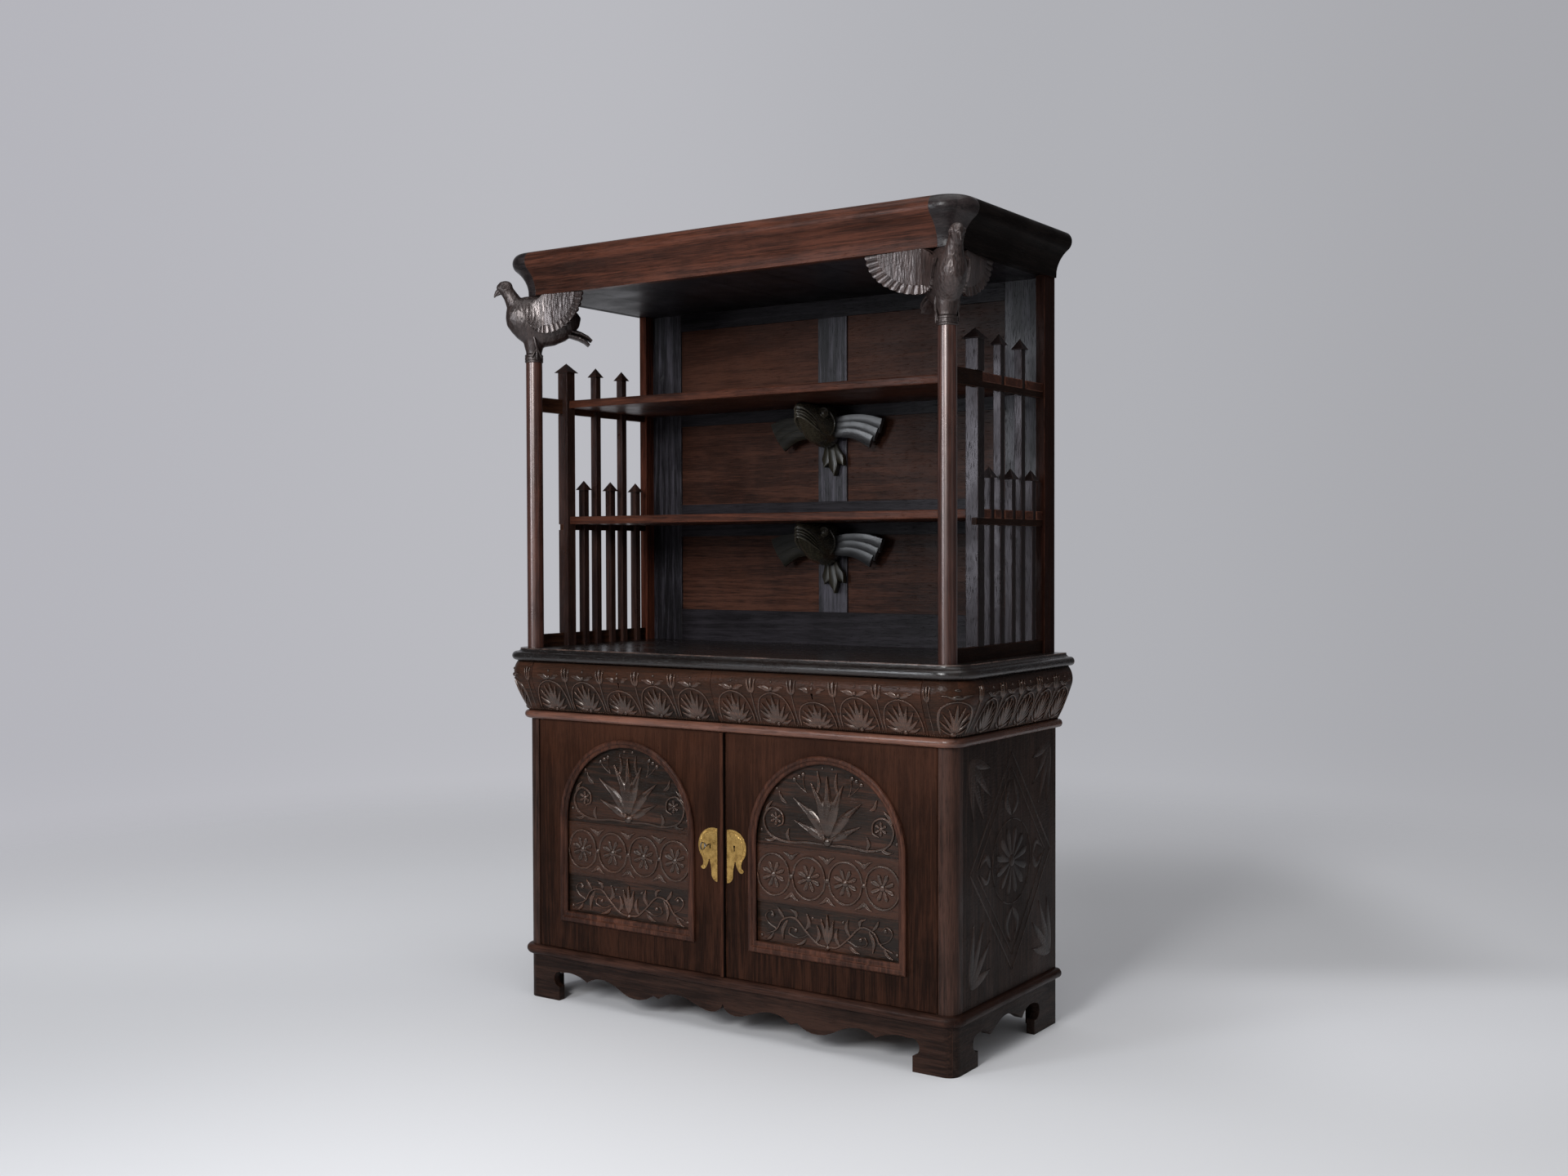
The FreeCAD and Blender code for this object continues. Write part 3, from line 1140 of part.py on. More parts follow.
def key():
    """Return the steel key in the left door, with its ring bow, collar and bit."""
    x = -LEFT_PLATE_EDGE - KEYHOLE_OUT
    bow_y = -PLATE_THICKNESS - KEY_REACH - KEY_BOW_RADIUS
    end_y = DOOR_THICKNESS + KEY_BIT_SETBACK + KEY_BIT_WIDTH
    shank_start = bow_y + KEY_BOW_RADIUS
    shank = Part.makeCylinder(KEY_SHANK_RADIUS, end_y - shank_start, V(x, shank_start, KEYHOLE_Z), V(0, 1, 0))
    bow = Part.makeTorus(KEY_BOW_RADIUS, KEY_BOW_WIRE_RADIUS, V(x, bow_y, KEYHOLE_Z), V(1, 0, 0))
    collar = Part.makeCylinder(KEY_COLLAR_RADIUS, KEY_COLLAR_LENGTH,
                               V(x, shank_start + KEY_COLLAR_LENGTH, KEYHOLE_Z), V(0, 1, 0))
    half = KEY_BIT_THICKNESS / 2
    bit = box(x - half, x + half, end_y - KEY_BIT_WIDTH, end_y, KEYHOLE_Z - KEY_BIT_LENGTH, KEYHOLE_Z)
    return fused([shank, bow, collar, bit])


def build_carcass():
    """Return the nodes of the lower stage that do not move."""
    return {
        "front_apron": front_apron(),
        "side_aprons": side_aprons(),
        "back_apron": back_apron(),
        "foot_blocks": foot_blocks(),
        "base_moulding": wrapped_moulding(nosed_profile(APRON_HEIGHT, BASE_MOULDING_HEIGHT, BASE_MOULDING_PROUD)),
        "bottom_board": bottom_board(),
        "corner_posts": corner_posts(),
        "side_panels": side_panels(),
        "carcass_back": carcass_back(),
        "inner_shelf": inner_shelf(),
        "shelf_bearers": shelf_bearers(),
        "dust_board": dust_board(),
        "bead_moulding": wrapped_moulding(nosed_profile(DOOR_STAGE_TOP, BEAD_HEIGHT, BEAD_PROUD)),
        "frieze_corners": frieze_corners(),
        "frieze_sides": frieze_sides(),
        "drawer_divider": drawer_divider(),
        "drawer_guides": drawer_guides(),
        "counter_top": counter_top(),
        "door_pins": door_pins(),
    }


def build_drawers_and_doors():
    """Return the nodes of the drawers, the doors and the lock."""
    meeting_half = DOOR_MEETING_GAP / 2
    left_keyhole = LEFT_PLATE_EDGE + KEYHOLE_OUT
    front = drawer_front()
    tray = drawer_tray()
    moulding = arch_moulding()
    panel = arched_panel()
    return {
        "drawer_front_left": mirrored(front),
        "drawer_front_right": front,
        "drawer_tray_left": mirrored(tray),
        "drawer_tray_right": tray,
        "door_leaf_left": mirrored(door_leaf(meeting_half - DOOR_MEETING_PLACE, left_keyhole)),
        "door_leaf_right": door_leaf(DOOR_MEETING_PLACE + meeting_half, RIGHT_PLATE_EDGE + KEYHOLE_OUT),
        "arch_moulding_left": mirrored(moulding),
        "arch_moulding_right": moulding,
        "arched_panel_left": mirrored(panel),
        "arched_panel_right": panel,
        "meeting_strip": meeting_strip(),
        "lock_plate_left": mirrored(lock_plate(LEFT_PLATE_EDGE)),
        "lock_plate_right": lock_plate(RIGHT_PLATE_EDGE),
        "lock_case": lock_case(),
        "lock_bolt": lock_bolt(),
        "key": key(),
    }


def build_gallery():
    """Return the nodes of the columns, the capitals and the picket galleries."""
    shaft = column()
    clearance = Part.makeCylinder(COLUMN_RADIUS, SOFFIT, V(COLUMN_X, COLUMN_SETBACK, 0))
    bottom_rail = bottom_side_rail().cut(clearance)
    upper_rail = upper_side_rail().cut(clearance)
    gate_laps = lap_levels(UPPER_SHELF_FOOT - SHELF_RAIL_HEIGHT + UPPER_RAIL_HEIGHT)
    picket_laps = lap_levels(UPPER_SHELF_FOOT)
    gate = capped_post(GATE_POST_PLACE, GATE_POST_SIZE, GATE_POST_HEIGHT, GATE_CAP_SIZE, gate_laps)
    uppers = [capped_post(y, PICKET_SIZE, UPPER_PICKET_HEIGHT, PICKET_CAP_SIZE, picket_laps)
              for y in UPPER_PICKET_PLACES]
    lowers = [capped_post(y, PICKET_SIZE, LOWER_PICKET_HEIGHT, PICKET_CAP_SIZE, picket_laps[:-1])
              for y in LOWER_PICKET_PLACES]
    bird = bird_body()
    wing = front_wing(bird)
    wings = Part.makeCompound([wing, side_wing(wing)])
    return {
        "column_left": mirrored(shaft),
        "column_right": shaft,
        "column_collars": column_collars(),
        "bird_left": mirrored(bird),
        "bird_right": bird,
        "bird_wings": both_sides(wings),
        "bottom_side_rails": both_sides(bottom_rail),
        "upper_side_rails": both_sides(upper_rail),
        "lower_bearers": both_sides(lower_bearer()),
        "gate_posts": both_sides(gate),
        "pickets": both_sides(Part.makeCompound([*uppers, *lowers])),
    }


def build_upper_stage():
    """Return the nodes of the panelled back, the shelves and the cornice."""
    gate = post_prism(GATE_POST_PLACE, GATE_POST_SIZE, GATE_POST_HEIGHT)
    uppers = [post_prism(y, PICKET_SIZE, UPPER_PICKET_HEIGHT) for y in UPPER_PICKET_PLACES]
    lowers = [post_prism(y, PICKET_SIZE, LOWER_PICKET_HEIGHT) for y in LOWER_PICKET_PLACES]
    stiles, rails, muntins = back_frame()
    return {
        "back_posts": both_sides(back_post()),
        "back_stiles": stiles,
        "back_rails": rails,
        "back_muntins": muntins,
        "back_panels": Part.makeCompound(back_panel_boxes()),
        "upper_shelf": display_shelf(UPPER_SHELF_FOOT, [gate, back_post(), *uppers]),
        "lower_shelf": display_shelf(LOWER_SHELF_FOOT, [gate, back_post(), *uppers, *lowers]),
        "fish_bracket_upper": fish_bracket(UPPER_SHELF_FOOT),
        "fish_bracket_lower": fish_bracket(LOWER_SHELF_FOOT),
        "cornice_front": front_length(cornice_profile, -HALF_WIDTH + CORNICE_CORNER_LENGTH,
                                      HALF_WIDTH - CORNICE_CORNER_LENGTH),
        "cornice_corners": cornice_corner_blocks(),
        "cornice_sides": cornice_sides(),
        "soffit_boards": soffit_boards(),
        "top_boards": top_boards(),
    }


def middle_of_depth(nodes):
    """Return the place halfway between the frontmost and the rearmost point of all nodes."""
    bounds = [shape.optimalBoundingBox(False, False) for shape in nodes.values()]
    return (min(bound.YMin for bound in bounds) + max(bound.YMax for bound in bounds)) / 2


def main():
    """Build every node, centre the model over its origin and write the files."""
    os.makedirs("parts", exist_ok=True)
    nodes = {**build_carcass(), **build_drawers_and_doors(), **build_gallery(), **build_upper_stage()}
    shift = V(0, -middle_of_depth(nodes), 0)
    for name, shape in nodes.items():
        moved = shape.copy()
        moved.translate(shift)
        if not moved.isValid():
            raise ValueError(f"{name} is not a valid shape")
        moved.exportStep(f"parts/{name}.step")
        print(f"{name}: {len(moved.Solids)} solids, {moved.Volume / 1000:.1f} cubic centimetres")
    print(f"{len(nodes)} nodes, moved {shift.y:.4f} along Y")


main()
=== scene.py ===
"""Looks of a tall oak display cupboard with arched doors, bird capitals and fish brackets."""
import logging
import math
from collections.abc import Callable
from dataclasses import dataclass, replace
from enum import Enum

import bmesh
import bpy
from mathutils import Matrix, Vector
from mathutils.bvhtree import BVHTree


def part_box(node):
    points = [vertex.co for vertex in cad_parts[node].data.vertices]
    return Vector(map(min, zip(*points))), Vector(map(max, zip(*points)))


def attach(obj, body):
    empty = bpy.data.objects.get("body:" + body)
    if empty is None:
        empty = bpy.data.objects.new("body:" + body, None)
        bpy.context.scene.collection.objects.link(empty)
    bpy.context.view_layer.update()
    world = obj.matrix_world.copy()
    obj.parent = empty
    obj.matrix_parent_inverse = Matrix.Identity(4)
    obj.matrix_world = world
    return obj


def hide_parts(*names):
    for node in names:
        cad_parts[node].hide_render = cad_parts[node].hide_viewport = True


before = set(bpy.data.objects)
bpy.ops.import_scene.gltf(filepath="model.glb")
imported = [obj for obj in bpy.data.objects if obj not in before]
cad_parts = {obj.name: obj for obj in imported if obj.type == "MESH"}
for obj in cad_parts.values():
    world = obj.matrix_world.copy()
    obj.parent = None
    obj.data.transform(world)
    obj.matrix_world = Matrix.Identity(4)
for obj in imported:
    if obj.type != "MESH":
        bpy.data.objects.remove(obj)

LOG = logging.getLogger("cupboard")
Colour = tuple[float, float, float]
Place = tuple[float, float, float]
Point = tuple[float, float]
Stops = tuple[tuple[float, Colour], ...]
Line = tuple[Point, ...]
Piece = bpy.types.Object
Socket = bpy.types.NodeSocket
MM = 0.001
PHOTO_WIDTH = 1920  # in pixels
TALLEST = 2.1  # a level above every piece
CARCASS_FRONT = 0.24708  # how far the front of the carcass stands before the frame's origin
# the turn from front to side is also where the painted shade on a moulding's side begins
EDGE_BACK = (0.64, 0.672)  # where a moulding turns from the front to the side


class Grain(Enum):
    """The way the grain of a board runs."""
    ALONG = 0
    DEEP = 1
    UPRIGHT = 2
    WRAPPED = 3


class Nodes:
    """A node tree under construction, with short calls for the nodes that it uses."""

    def __init__(self, tree: bpy.types.NodeTree) -> None:
        """Start from an empty tree."""
        self.tree = tree
        tree.nodes.clear()

    def join(self, source: object, target: Socket) -> None:
        """Feed a socket from another socket, or set it to a plain value.

        Args:
            source: the other socket, or the value.
            target: the socket.
        """
        if isinstance(source, Socket):
            self.tree.links.new(source, target)
        else:
            target.default_value = source

    def add(self, kind: str, sources: dict[str | int, object] | None = None, **settings: object) -> bpy.types.Node:
        """Add a node.

        Args:
            kind: the kind of the node.
            sources: what feeds its sockets, by their names or numbers.
            settings: what its settings are.

        Returns:
            The node.
        """
        node = self.tree.nodes.new(kind)
        for name, value in settings.items():
            setattr(node, name, value)
        for key, source in (sources or {}).items():
            self.join(source, node.inputs[key])
        return node

    def split(self, source: Socket) -> list[Socket]:
        """Return the three parts of a vector."""
        return list(self.add("ShaderNodeSeparateXYZ", {0: source}).outputs)

    def maths(self, operation: str, *values: object, clamp: bool = False) -> Socket:
        """Return the result of an operation on one, two or three values."""
        return self.add("ShaderNodeMath", dict(enumerate(values)), operation=operation, use_clamp=clamp).outputs[0]

    def vector_maths(self, operation: str, *values: object, out: str = "Vector") -> Socket:
        """Return the result of an operation on vectors."""
        return self.add("ShaderNodeVectorMath", dict(enumerate(values)), operation=operation).outputs[out]

    def stretched(self, source: object, scale: Colour, shift: Colour = (0, 0, 0)) -> Socket:
        """Return coordinates scaled and moved."""
        return self.add("ShaderNodeMapping", {"Vector": source, "Scale": scale, "Location": shift}).outputs[0]

    def noise(self, source: object, scale: float, detail: float = 2.0, rough: float = 0.5,
              distortion: float = 0.0) -> Socket:
        """Return soft noise from zero to one, with finer layers of some strength, swirled by the distortion."""
        return self.add("ShaderNodeTexNoise", {"Vector": source, "Scale": scale, "Detail": detail,
                                               "Roughness": rough, "Distortion": distortion}).outputs["Fac"]

    def cells(self, source: object, scale: float) -> Socket:
        """Return the distance to the nearest cell centre."""
        return self.add("ShaderNodeTexVoronoi", {"Vector": source, "Scale": scale}).outputs["Distance"]

    def between(self, value: object, low: float, high: float, start: float = 0.0, end: float = 1.0,
                kind: str = "SMOOTHSTEP") -> Socket:
        """Return a value's passage between a low and a high limit, mapped to a start and an end."""
        return self.add("ShaderNodeMapRange", {"Value": value, "From Min": low, "From Max": high, "To Min": start,
                                               "To Max": end}, interpolation_type=kind).outputs["Result"]

    def ramp(self, value: object, stops: Stops, kind: str = "LINEAR") -> Socket:
        """Return a colour from a scale of coloured stops.

        Args:
            value: the value that picks the colour, from zero to one.
            stops: the places and colours of the stops.
            kind: how the scale passes from stop to stop.

        Returns:
            The colour.
        """
        node = self.add("ShaderNodeValToRGB", {0: value})
        node.color_ramp.interpolation = kind
        marks = node.color_ramp.elements
        while len(marks) < len(stops):
            marks.new(1.0)
        for mark, (position, colour) in zip(marks, stops):
            mark.position = position
            mark.color = (*colour, 1.0)
        return node.outputs["Color"]

    def blend(self, share: object, first: object, second: object, mode: str = "MIX") -> Socket:
        """Return a share of a second colour mixed into the first, each given as a colour or by a socket."""
        first, second = ((*part, 1.0) if isinstance(part, tuple) else part for part in (first, second))
        return self.add("ShaderNodeMix", {"Factor": share, "A": first, "B": second}, data_type="RGBA",
                        blend_type=mode).outputs["Result"]

    def switched(self, share: object, first: Socket, second: Socket) -> Socket:
        """Return a share of a second shader mixed into the first."""
        return self.add("ShaderNodeMixShader", {0: share, 1: first, 2: second}).outputs[0]


class Sketch(Nodes):
    """A material's node tree, laid out on the coordinates of its piece."""

    def __init__(self, name: str) -> None:
        """Start an empty node tree with a shader and an output.

        Args:
            name: the name of the material.
        """
        self.material = bpy.data.materials.new(name)
        self.material.use_nodes = True
        super().__init__(self.material.node_tree)
        self.shader = self.add("ShaderNodeBsdfPrincipled")
        self.output = self.add("ShaderNodeOutputMaterial", {"Surface": self.shader.outputs[0]})
        self.place = self.add("ShaderNodeTexCoord").outputs["Object"]

    def dressed(self, sources: dict[str, object]) -> bpy.types.Material:
        """Feed the shader's named sockets and return the material."""
        for name, source in sources.items():
            self.join(source, self.shader.inputs[name])
        return self.material

    def rounded(self, radius: float) -> tuple[Socket, Socket]:
        """Round the edges of the piece in its normal.

        Args:
            radius: how far the rounding reaches.

        Returns:
            The normal with edges rounded, and how far it leans away from the true one.
        """
        normal = self.add("ShaderNodeBevel", {"Radius": radius}, samples=4).outputs["Normal"]
        true = self.add("ShaderNodeNewGeometry").outputs["Normal"]
        same = self.vector_maths("DOT_PRODUCT", normal, true, out="Value")
        return normal, self.maths("SUBTRACT", 1.0, same, clamp=True)

    def hollows(self, reach: float) -> Socket:
        """Return how far a place is shut in by what stands round it."""
        open_share = self.add("ShaderNodeAmbientOcclusion", {"Distance": reach}, samples=4).outputs["AO"]
        return self.maths("SUBTRACT", 1.0, open_share, clamp=True)

    def bumped(self, height: object, depth: float, normal: object, strength: float = 1.0) -> Socket:
        """Return a normal that follows a height, where one stands for a depth in metres."""
        return self.add("ShaderNodeBump", {"Strength": strength, "Distance": depth, "Height": height,
                                           "Normal": normal}).outputs["Normal"]


@dataclass(frozen=True)
class OakFinish:
    """Stained and waxed oak with open pores, drifting figure and rubbed edges, which in some finishes also paint
    highlights, with painted shade in its hollows and towards its right.
    """
    name: str
    dark: Colour
    middle: Colour
    light: Colour
    # colour of rubbed edges, which in some finishes also paints their highlights
    worn_and_highlight: Colour
    gloss: tuple[float, float] = (0.3, 0.5)
    coat: float = 0.0
    wear: float = 0.75
    wear_width: float = 2.5 * MM
    pore_depth: float = 0.28 * MM
    ripple: float = 0.0
    cut: Place = (0.42, 0.42, 1.0)
    cut_scale: float = 190.0
    cut_shade: float = 0.25
    shine: float = 0.2
    coat_gloss: float = 0.2
    # painted shade: how much the colour darkens where a place is shut in by what stands round it, and how far that
    # reaches
    hollow_shade: float = 0.0
    hollow_shade_reach: float = 7 * MM
    warm: tuple[tuple[float, float], ...] = ()
    warm_drift: float = 0.1
    warm_tone: Colour | None = None
    # painted shade towards the right, for faces that the lamps leave in shade: its strength, and where in x it sets in
    right_shade: float = 0.0
    right_shade_from: tuple[float, float] = (0.25, 0.35)
    sheen: Colour = (1.0, 1.0, 1.0)
    broad_draw: float = 0.16
    ring_turns: float = 58.0
    fibre_scale: float = 330.0
    pore_scale: float = 900.0
    joint_tone: Colour = (0.004, 0.003, 0.003)
    board_shift: Place = (3.7, 5.3, 7.9)

    def material(self, piece: str, grain: Grain, seed: float, lay: "BoardLay | None" = None) -> bpy.types.Material:
        """Build this finish for one piece.

        Args:
            piece: the piece that it is for, used in the material's name.
            grain: the way the grain runs.
            seed: a number that gives the piece its own figure.
            lay: the joints between boards that lie edge to edge, where the piece has them.

        Returns:
            The material.
        """
        art = Sketch(f"{self.name}_{piece}")
        along = self.grain_place(art, grain, seed)
        joint, board = lay.marks(art) if lay else (None, None)
        if lay:
            offset = art.add("ShaderNodeCombineXYZ", {axis: art.maths("MULTIPLY", board, factor)
                                                      for axis, factor in enumerate(self.board_shift)})
            along = art.vector_maths("ADD", along, offset.outputs[0])
        tone, height, pores, cloud = self.figure(art, along, self.grain_place(art, grain, seed, self.broad_draw), seed)
        if lay:
            shade = art.noise(board, 7.3, 0.0)
            tone = art.maths("ADD", tone, art.maths("MULTIPLY", art.maths("SUBTRACT", shade, 0.5), 0.5))
        colour = self.stained_and_shaded(art, tone, cloud)
        colour = art.blend(art.maths("MULTIPLY", pores, 0.45), colour, tuple(0.3 * part for part in self.dark))
        normal, edge = art.rounded(self.wear_width)
        patch = art.between(art.noise(art.place, 16.0, 4.0, 0.65), 0.38, 0.62, 0.15, 1.0)
        # rubbed edges: wear, which on the counter, the carving and the fish faces also stands for painted highlights
        rubbed = art.maths("MULTIPLY", art.between(edge, 0.015, 0.22), patch)
        colour = art.blend(art.maths("MULTIPLY", rubbed, self.wear), colour, self.worn_and_highlight)
        # painted shade in recesses, creases and between parts
        if self.hollow_shade:
            shut = art.between(art.hollows(self.hollow_shade_reach), 0.1, 0.6, 0.0, self.hollow_shade)
            colour = art.blend(shut, colour, tuple(0.25 * part for part in self.dark))
        if lay:
            colour = art.blend(art.maths("MULTIPLY", joint, 0.85), colour, self.joint_tone)
            height = art.maths("SUBTRACT", height, art.maths("MULTIPLY", joint, 2.5))
        if self.ripple:
            normal, sunk = self.tooled(art, normal)
            colour = art.blend(art.maths("MULTIPLY", sunk, self.cut_shade), colour, self.dark)
        rough = art.between(art.noise(art.place, 7.0, 3.0), 0.3, 0.7, *self.gloss)
        rough = art.maths("ADD", rough, art.maths("MULTIPLY", pores, 0.12))
        return art.dressed({"Base Color": colour, "Roughness": rough,
                            "Normal": art.bumped(height, self.pore_depth, normal),
                            "Specular IOR Level": self.shine, "Specular Tint": (*self.sheen, 1.0),
                            "Coat Weight": self.coat, "Coat Roughness": self.coat_gloss})

    def figure(self, art: Sketch, along: Socket, broad: Socket,
               seed: float) -> tuple[Socket, ...]:
        """Lay out the figure of the wood.

        Args:
            art: the material's node tree.
            along: coordinates drawn out along the grain.
            broad: the same, drawn out less.
            seed: a number that gives the piece its own figure.

        Returns:
            The tone, the height of the fibres, the pores and the slow clouds of the stain.
        """
        drift = art.noise(broad, 3.4, 4.0, 0.55, 0.5)
        cloud = art.noise(art.place, 5.0, 4.0, 0.6, 0.6)
        body = art.noise(art.stretched(along, (1, 1, 1), (seed, 2, 5)), 9.0, 2.0, 0.5, 0.8)
        rings = art.maths("SINE", art.maths("MULTIPLY", body, self.ring_turns))
        rings = art.maths("POWER", art.between(rings, -1.0, 1.0), 2.2)
        fibre = art.noise(along, self.fibre_scale, 2.0, 0.6)
        pores = art.between(art.noise(along, self.pore_scale, 1.0, 0.5), 0.6, 0.74)
        tone = art.maths("ADD", art.maths("MULTIPLY", drift, 0.58), art.maths("MULTIPLY", cloud, 0.46))
        tone = art.maths("ADD", tone, art.maths("MULTIPLY", rings, 0.13))
        tone = art.maths("ADD", tone, art.maths("MULTIPLY", art.maths("SUBTRACT", fibre, 0.27), 0.68))
        height = art.maths("SUBTRACT", art.maths("MULTIPLY", fibre, 0.45), pores)
        return tone, art.maths("ADD", height, art.maths("MULTIPLY", rings, 0.22)), pores, cloud

    def stained_and_shaded(self, art: Sketch, tone: Socket, cloud: Socket) -> Socket:
        """Turn the tone of the figure into the colour of the stain, with painted shade towards the right.

        Args:
            art: the material's node tree.
            tone: the tone.
            cloud: the slow clouds of the stain.

        Returns:
            The colour, warmer at some levels, which on the doors is painted light on their upper part, and with painted
            shade towards the right.
        """
        colour = art.ramp(tone, ((0.42, self.dark), (0.66, self.middle), (0.92, self.light)))
        across, _, level = art.split(art.place)
        # lighter at some levels; on the doors this is painted light on their upper part
        if self.warm:
            sway = art.maths("MULTIPLY", art.maths("SUBTRACT", cloud, 0.5), self.warm_drift)
            level = art.maths("DIVIDE", art.maths("ADD", level, sway), TALLEST)
            share = art.ramp(level, tuple((height / TALLEST, (part,) * 3) for height, part in self.warm))
            colour = art.blend(share, colour, self.warm_tone or self.light)
        # painted shade: darker towards the right, on the side that the lamps leave in shade
        if self.right_shade:
            colour = art.blend(art.between(across, *self.right_shade_from, 0.0, self.right_shade), colour, self.dark)
        return colour

    def grain_place(self, art: Sketch, grain: Grain, seed: float, draw: float = 0.045) -> Socket:
        """Return coordinates drawn out along the grain.

        Args:
            art: the material's node tree.
            grain: the way the grain runs.
            seed: a number that gives the piece its own figure.
            draw: the share of its real length that a stretch of grain counts for.

        Returns:
            The coordinates.
        """
        shift = (seed * 1.7, seed * 2.9, seed * 0.7)
        if grain is not Grain.WRAPPED:
            scale = [1.0, 1.0, 1.0]
            scale[grain.value] = draw
            return art.stretched(art.place, tuple(scale), shift)
        front = art.stretched(art.place, (draw, 1.0, 1.0), shift)
        side = art.stretched(art.place, (1.0, draw, 1.0), shift)
        low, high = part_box("corner_posts")
        over, back, _ = art.split(art.place)
        over = art.maths("SUBTRACT", art.maths("ABSOLUTE", over), high.x)
        turn = art.maths("GREATER_THAN", art.maths("ADD", over, art.maths("SUBTRACT", back, low.y)), 0.0)
        return art.add("ShaderNodeMix", {0: turn, 4: front, 5: side}, data_type="VECTOR").outputs[1]

    def tooled(self, art: Sketch, normal: Socket) -> tuple[Socket, Socket]:
        """Return the normal of a ground dressed with short cuts of a gouge, and how deep each place lies."""
        cuts = art.cells(art.stretched(art.place, self.cut), self.cut_scale)
        drift = art.between(art.noise(art.place, 4.0, 2.0), 0.35, 0.6, 0.35, 1.0)
        return art.bumped(art.maths("MULTIPLY", cuts, drift), self.ripple, normal), art.between(cuts, 0.42, 0.12)


@dataclass(frozen=True)
class BoardLay:
    """Boards that lie edge to edge across a piece, seen as fine dark joints and changes of tone."""
    axis: int
    start: float
    width: float
    line: float = 0.9 * MM

    def marks(self, art: Sketch) -> tuple[Socket, Socket]:
        """Return the mask of the joints and the number of the board.

        Args:
            art: the material's node tree.

        Returns:
            The mask and the number.
        """
        over = art.split(art.place)[self.axis]
        count = art.maths("DIVIDE", art.maths("SUBTRACT", over, self.start), self.width)
        board = art.maths("FLOOR", count)
        reach = art.maths("ABSOLUTE", art.maths("SUBTRACT", art.maths("FRACT", count), 0.5))
        edge = 0.5 - self.line / self.width
        return art.between(reach, edge, edge + 0.5 * self.line / self.width), board


@dataclass(frozen=True)
class MetalFinish:
    """Old metal with tarnish that settles in patches, rubbed bright at its edges."""
    name: str
    bright: Colour
    tarnish: Colour
    gloss: tuple[float, float]

    def material(self) -> bpy.types.Material:
        """Build the metal."""
        art = Sketch(self.name)
        patch = art.between(art.noise(art.place, 60.0, 4.0, 0.6), 0.35, 0.68)
        speck = art.between(art.noise(art.place, 700.0, 2.0), 0.55, 0.7, 0.0, 0.5)
        normal, edge = art.rounded(0.6 * MM)
        colour = art.blend(art.maths("MAXIMUM", patch, speck), self.bright, self.tarnish)
        colour = art.blend(art.between(edge, 0.02, 0.3, 0.0, 0.7), colour, self.bright)
        scratch = art.noise(art.stretched(art.place, (0.2, 1, 1)), 900.0, 2.0)
        return art.dressed({"Base Color": colour, "Roughness": art.between(patch, 0.0, 1.0, *self.gloss),
                            "Normal": art.bumped(scratch, 0.05 * MM, normal, 0.5), "Metallic": 1.0})


BROWN_OAK = OakFinish(
    "brown_oak", (0.005, 0.0021, 0.0013), (0.0165, 0.0066, 0.0037), (0.044, 0.0165, 0.0092), (0.125, 0.052, 0.03),
    shine=0.07)
POST_OAK = replace(BROWN_OAK, name="post_oak", middle=(0.024, 0.0115, 0.008), light=(0.054, 0.025, 0.0175), shine=0.16)
RED_OAK = OakFinish(
    "red_oak", (0.0075, 0.0028, 0.0018), (0.029, 0.01, 0.006), (0.074, 0.0245, 0.0137), (0.18, 0.068, 0.04),
    gloss=(0.28, 0.46), shine=0.1)
# The cornice's wide-reaching darkening is painted shade in the cove of its profile.
CORNICE_OAK = replace(
    RED_OAK, name="cornice_oak", middle=(0.038, 0.0135, 0.0082), light=(0.092, 0.031, 0.018), shine=0.14, hollow_shade=0.85,
    hollow_shade_reach=70 * MM)
INNER_POST_OAK = replace(
    RED_OAK, name="inner_post_oak", middle=(0.052, 0.0165, 0.01), light=(0.104, 0.0315, 0.018), right_shade=0.85,
    shine=0.03)
WORN_OAK = OakFinish(
    "worn_oak", (0.024, 0.0098, 0.0064), (0.092, 0.0375, 0.024), (0.18, 0.077, 0.05), (0.23, 0.11, 0.075),
    gloss=(0.22, 0.34), shine=0.5, right_shade=0.55, right_shade_from=EDGE_BACK)
POLISHED_OAK = OakFinish(
    "polished_oak", (0.012, 0.0042, 0.0028), (0.034, 0.012, 0.008), (0.08, 0.029, 0.019), (0.14, 0.06, 0.04),
    gloss=(0.26, 0.33), coat=0.45, coat_gloss=0.27, pore_depth=0.025 * MM, shine=1.0, sheen=(1.0, 0.84, 0.8))
# The bluish-grey cast of this black oak is partly its own colour and partly a painted sheen of light glancing off open
# grain.
BLACK_SHEEN_OAK = OakFinish(
    "black_sheen_oak", (0.004, 0.0034, 0.004), (0.0095, 0.008, 0.0094), (0.022, 0.019, 0.0225), (0.05, 0.034, 0.03),
    gloss=(0.3, 0.46), wear=0.35, shine=0.1)
# The pale bluish-grey grain streaks of the uprights are partly a painted sheen.
UPRIGHT_SHEEN_OAK = replace(
    BLACK_SHEEN_OAK, name="upright_sheen_oak", middle=(0.0125, 0.0112, 0.0138), light=(0.062, 0.057, 0.07), shine=0.26)
GALLERY_OAK = OakFinish(
    "gallery_oak", (0.004, 0.0024, 0.0021), (0.022, 0.0102, 0.0074), (0.052, 0.0235, 0.0165), (0.08, 0.04, 0.03),
    gloss=(0.26, 0.42), wear=0.5, shine=0.3, right_shade=0.85, sheen=(1.0, 0.93, 1.0))
PANEL_BANDS = ((0.3525, 0.0), (0.3535, 0.6), (0.4975, 0.6), (0.4985, 0.0))
CARVED_OAK = OakFinish(
    "carved_oak", (0.0055, 0.0038, 0.0026), (0.015, 0.0086, 0.0056), (0.052, 0.0205, 0.0115), (0.15, 0.06, 0.036),
    gloss=(0.26, 0.4), ripple=0.35 * MM, shine=0.22, hollow_shade=0.85)
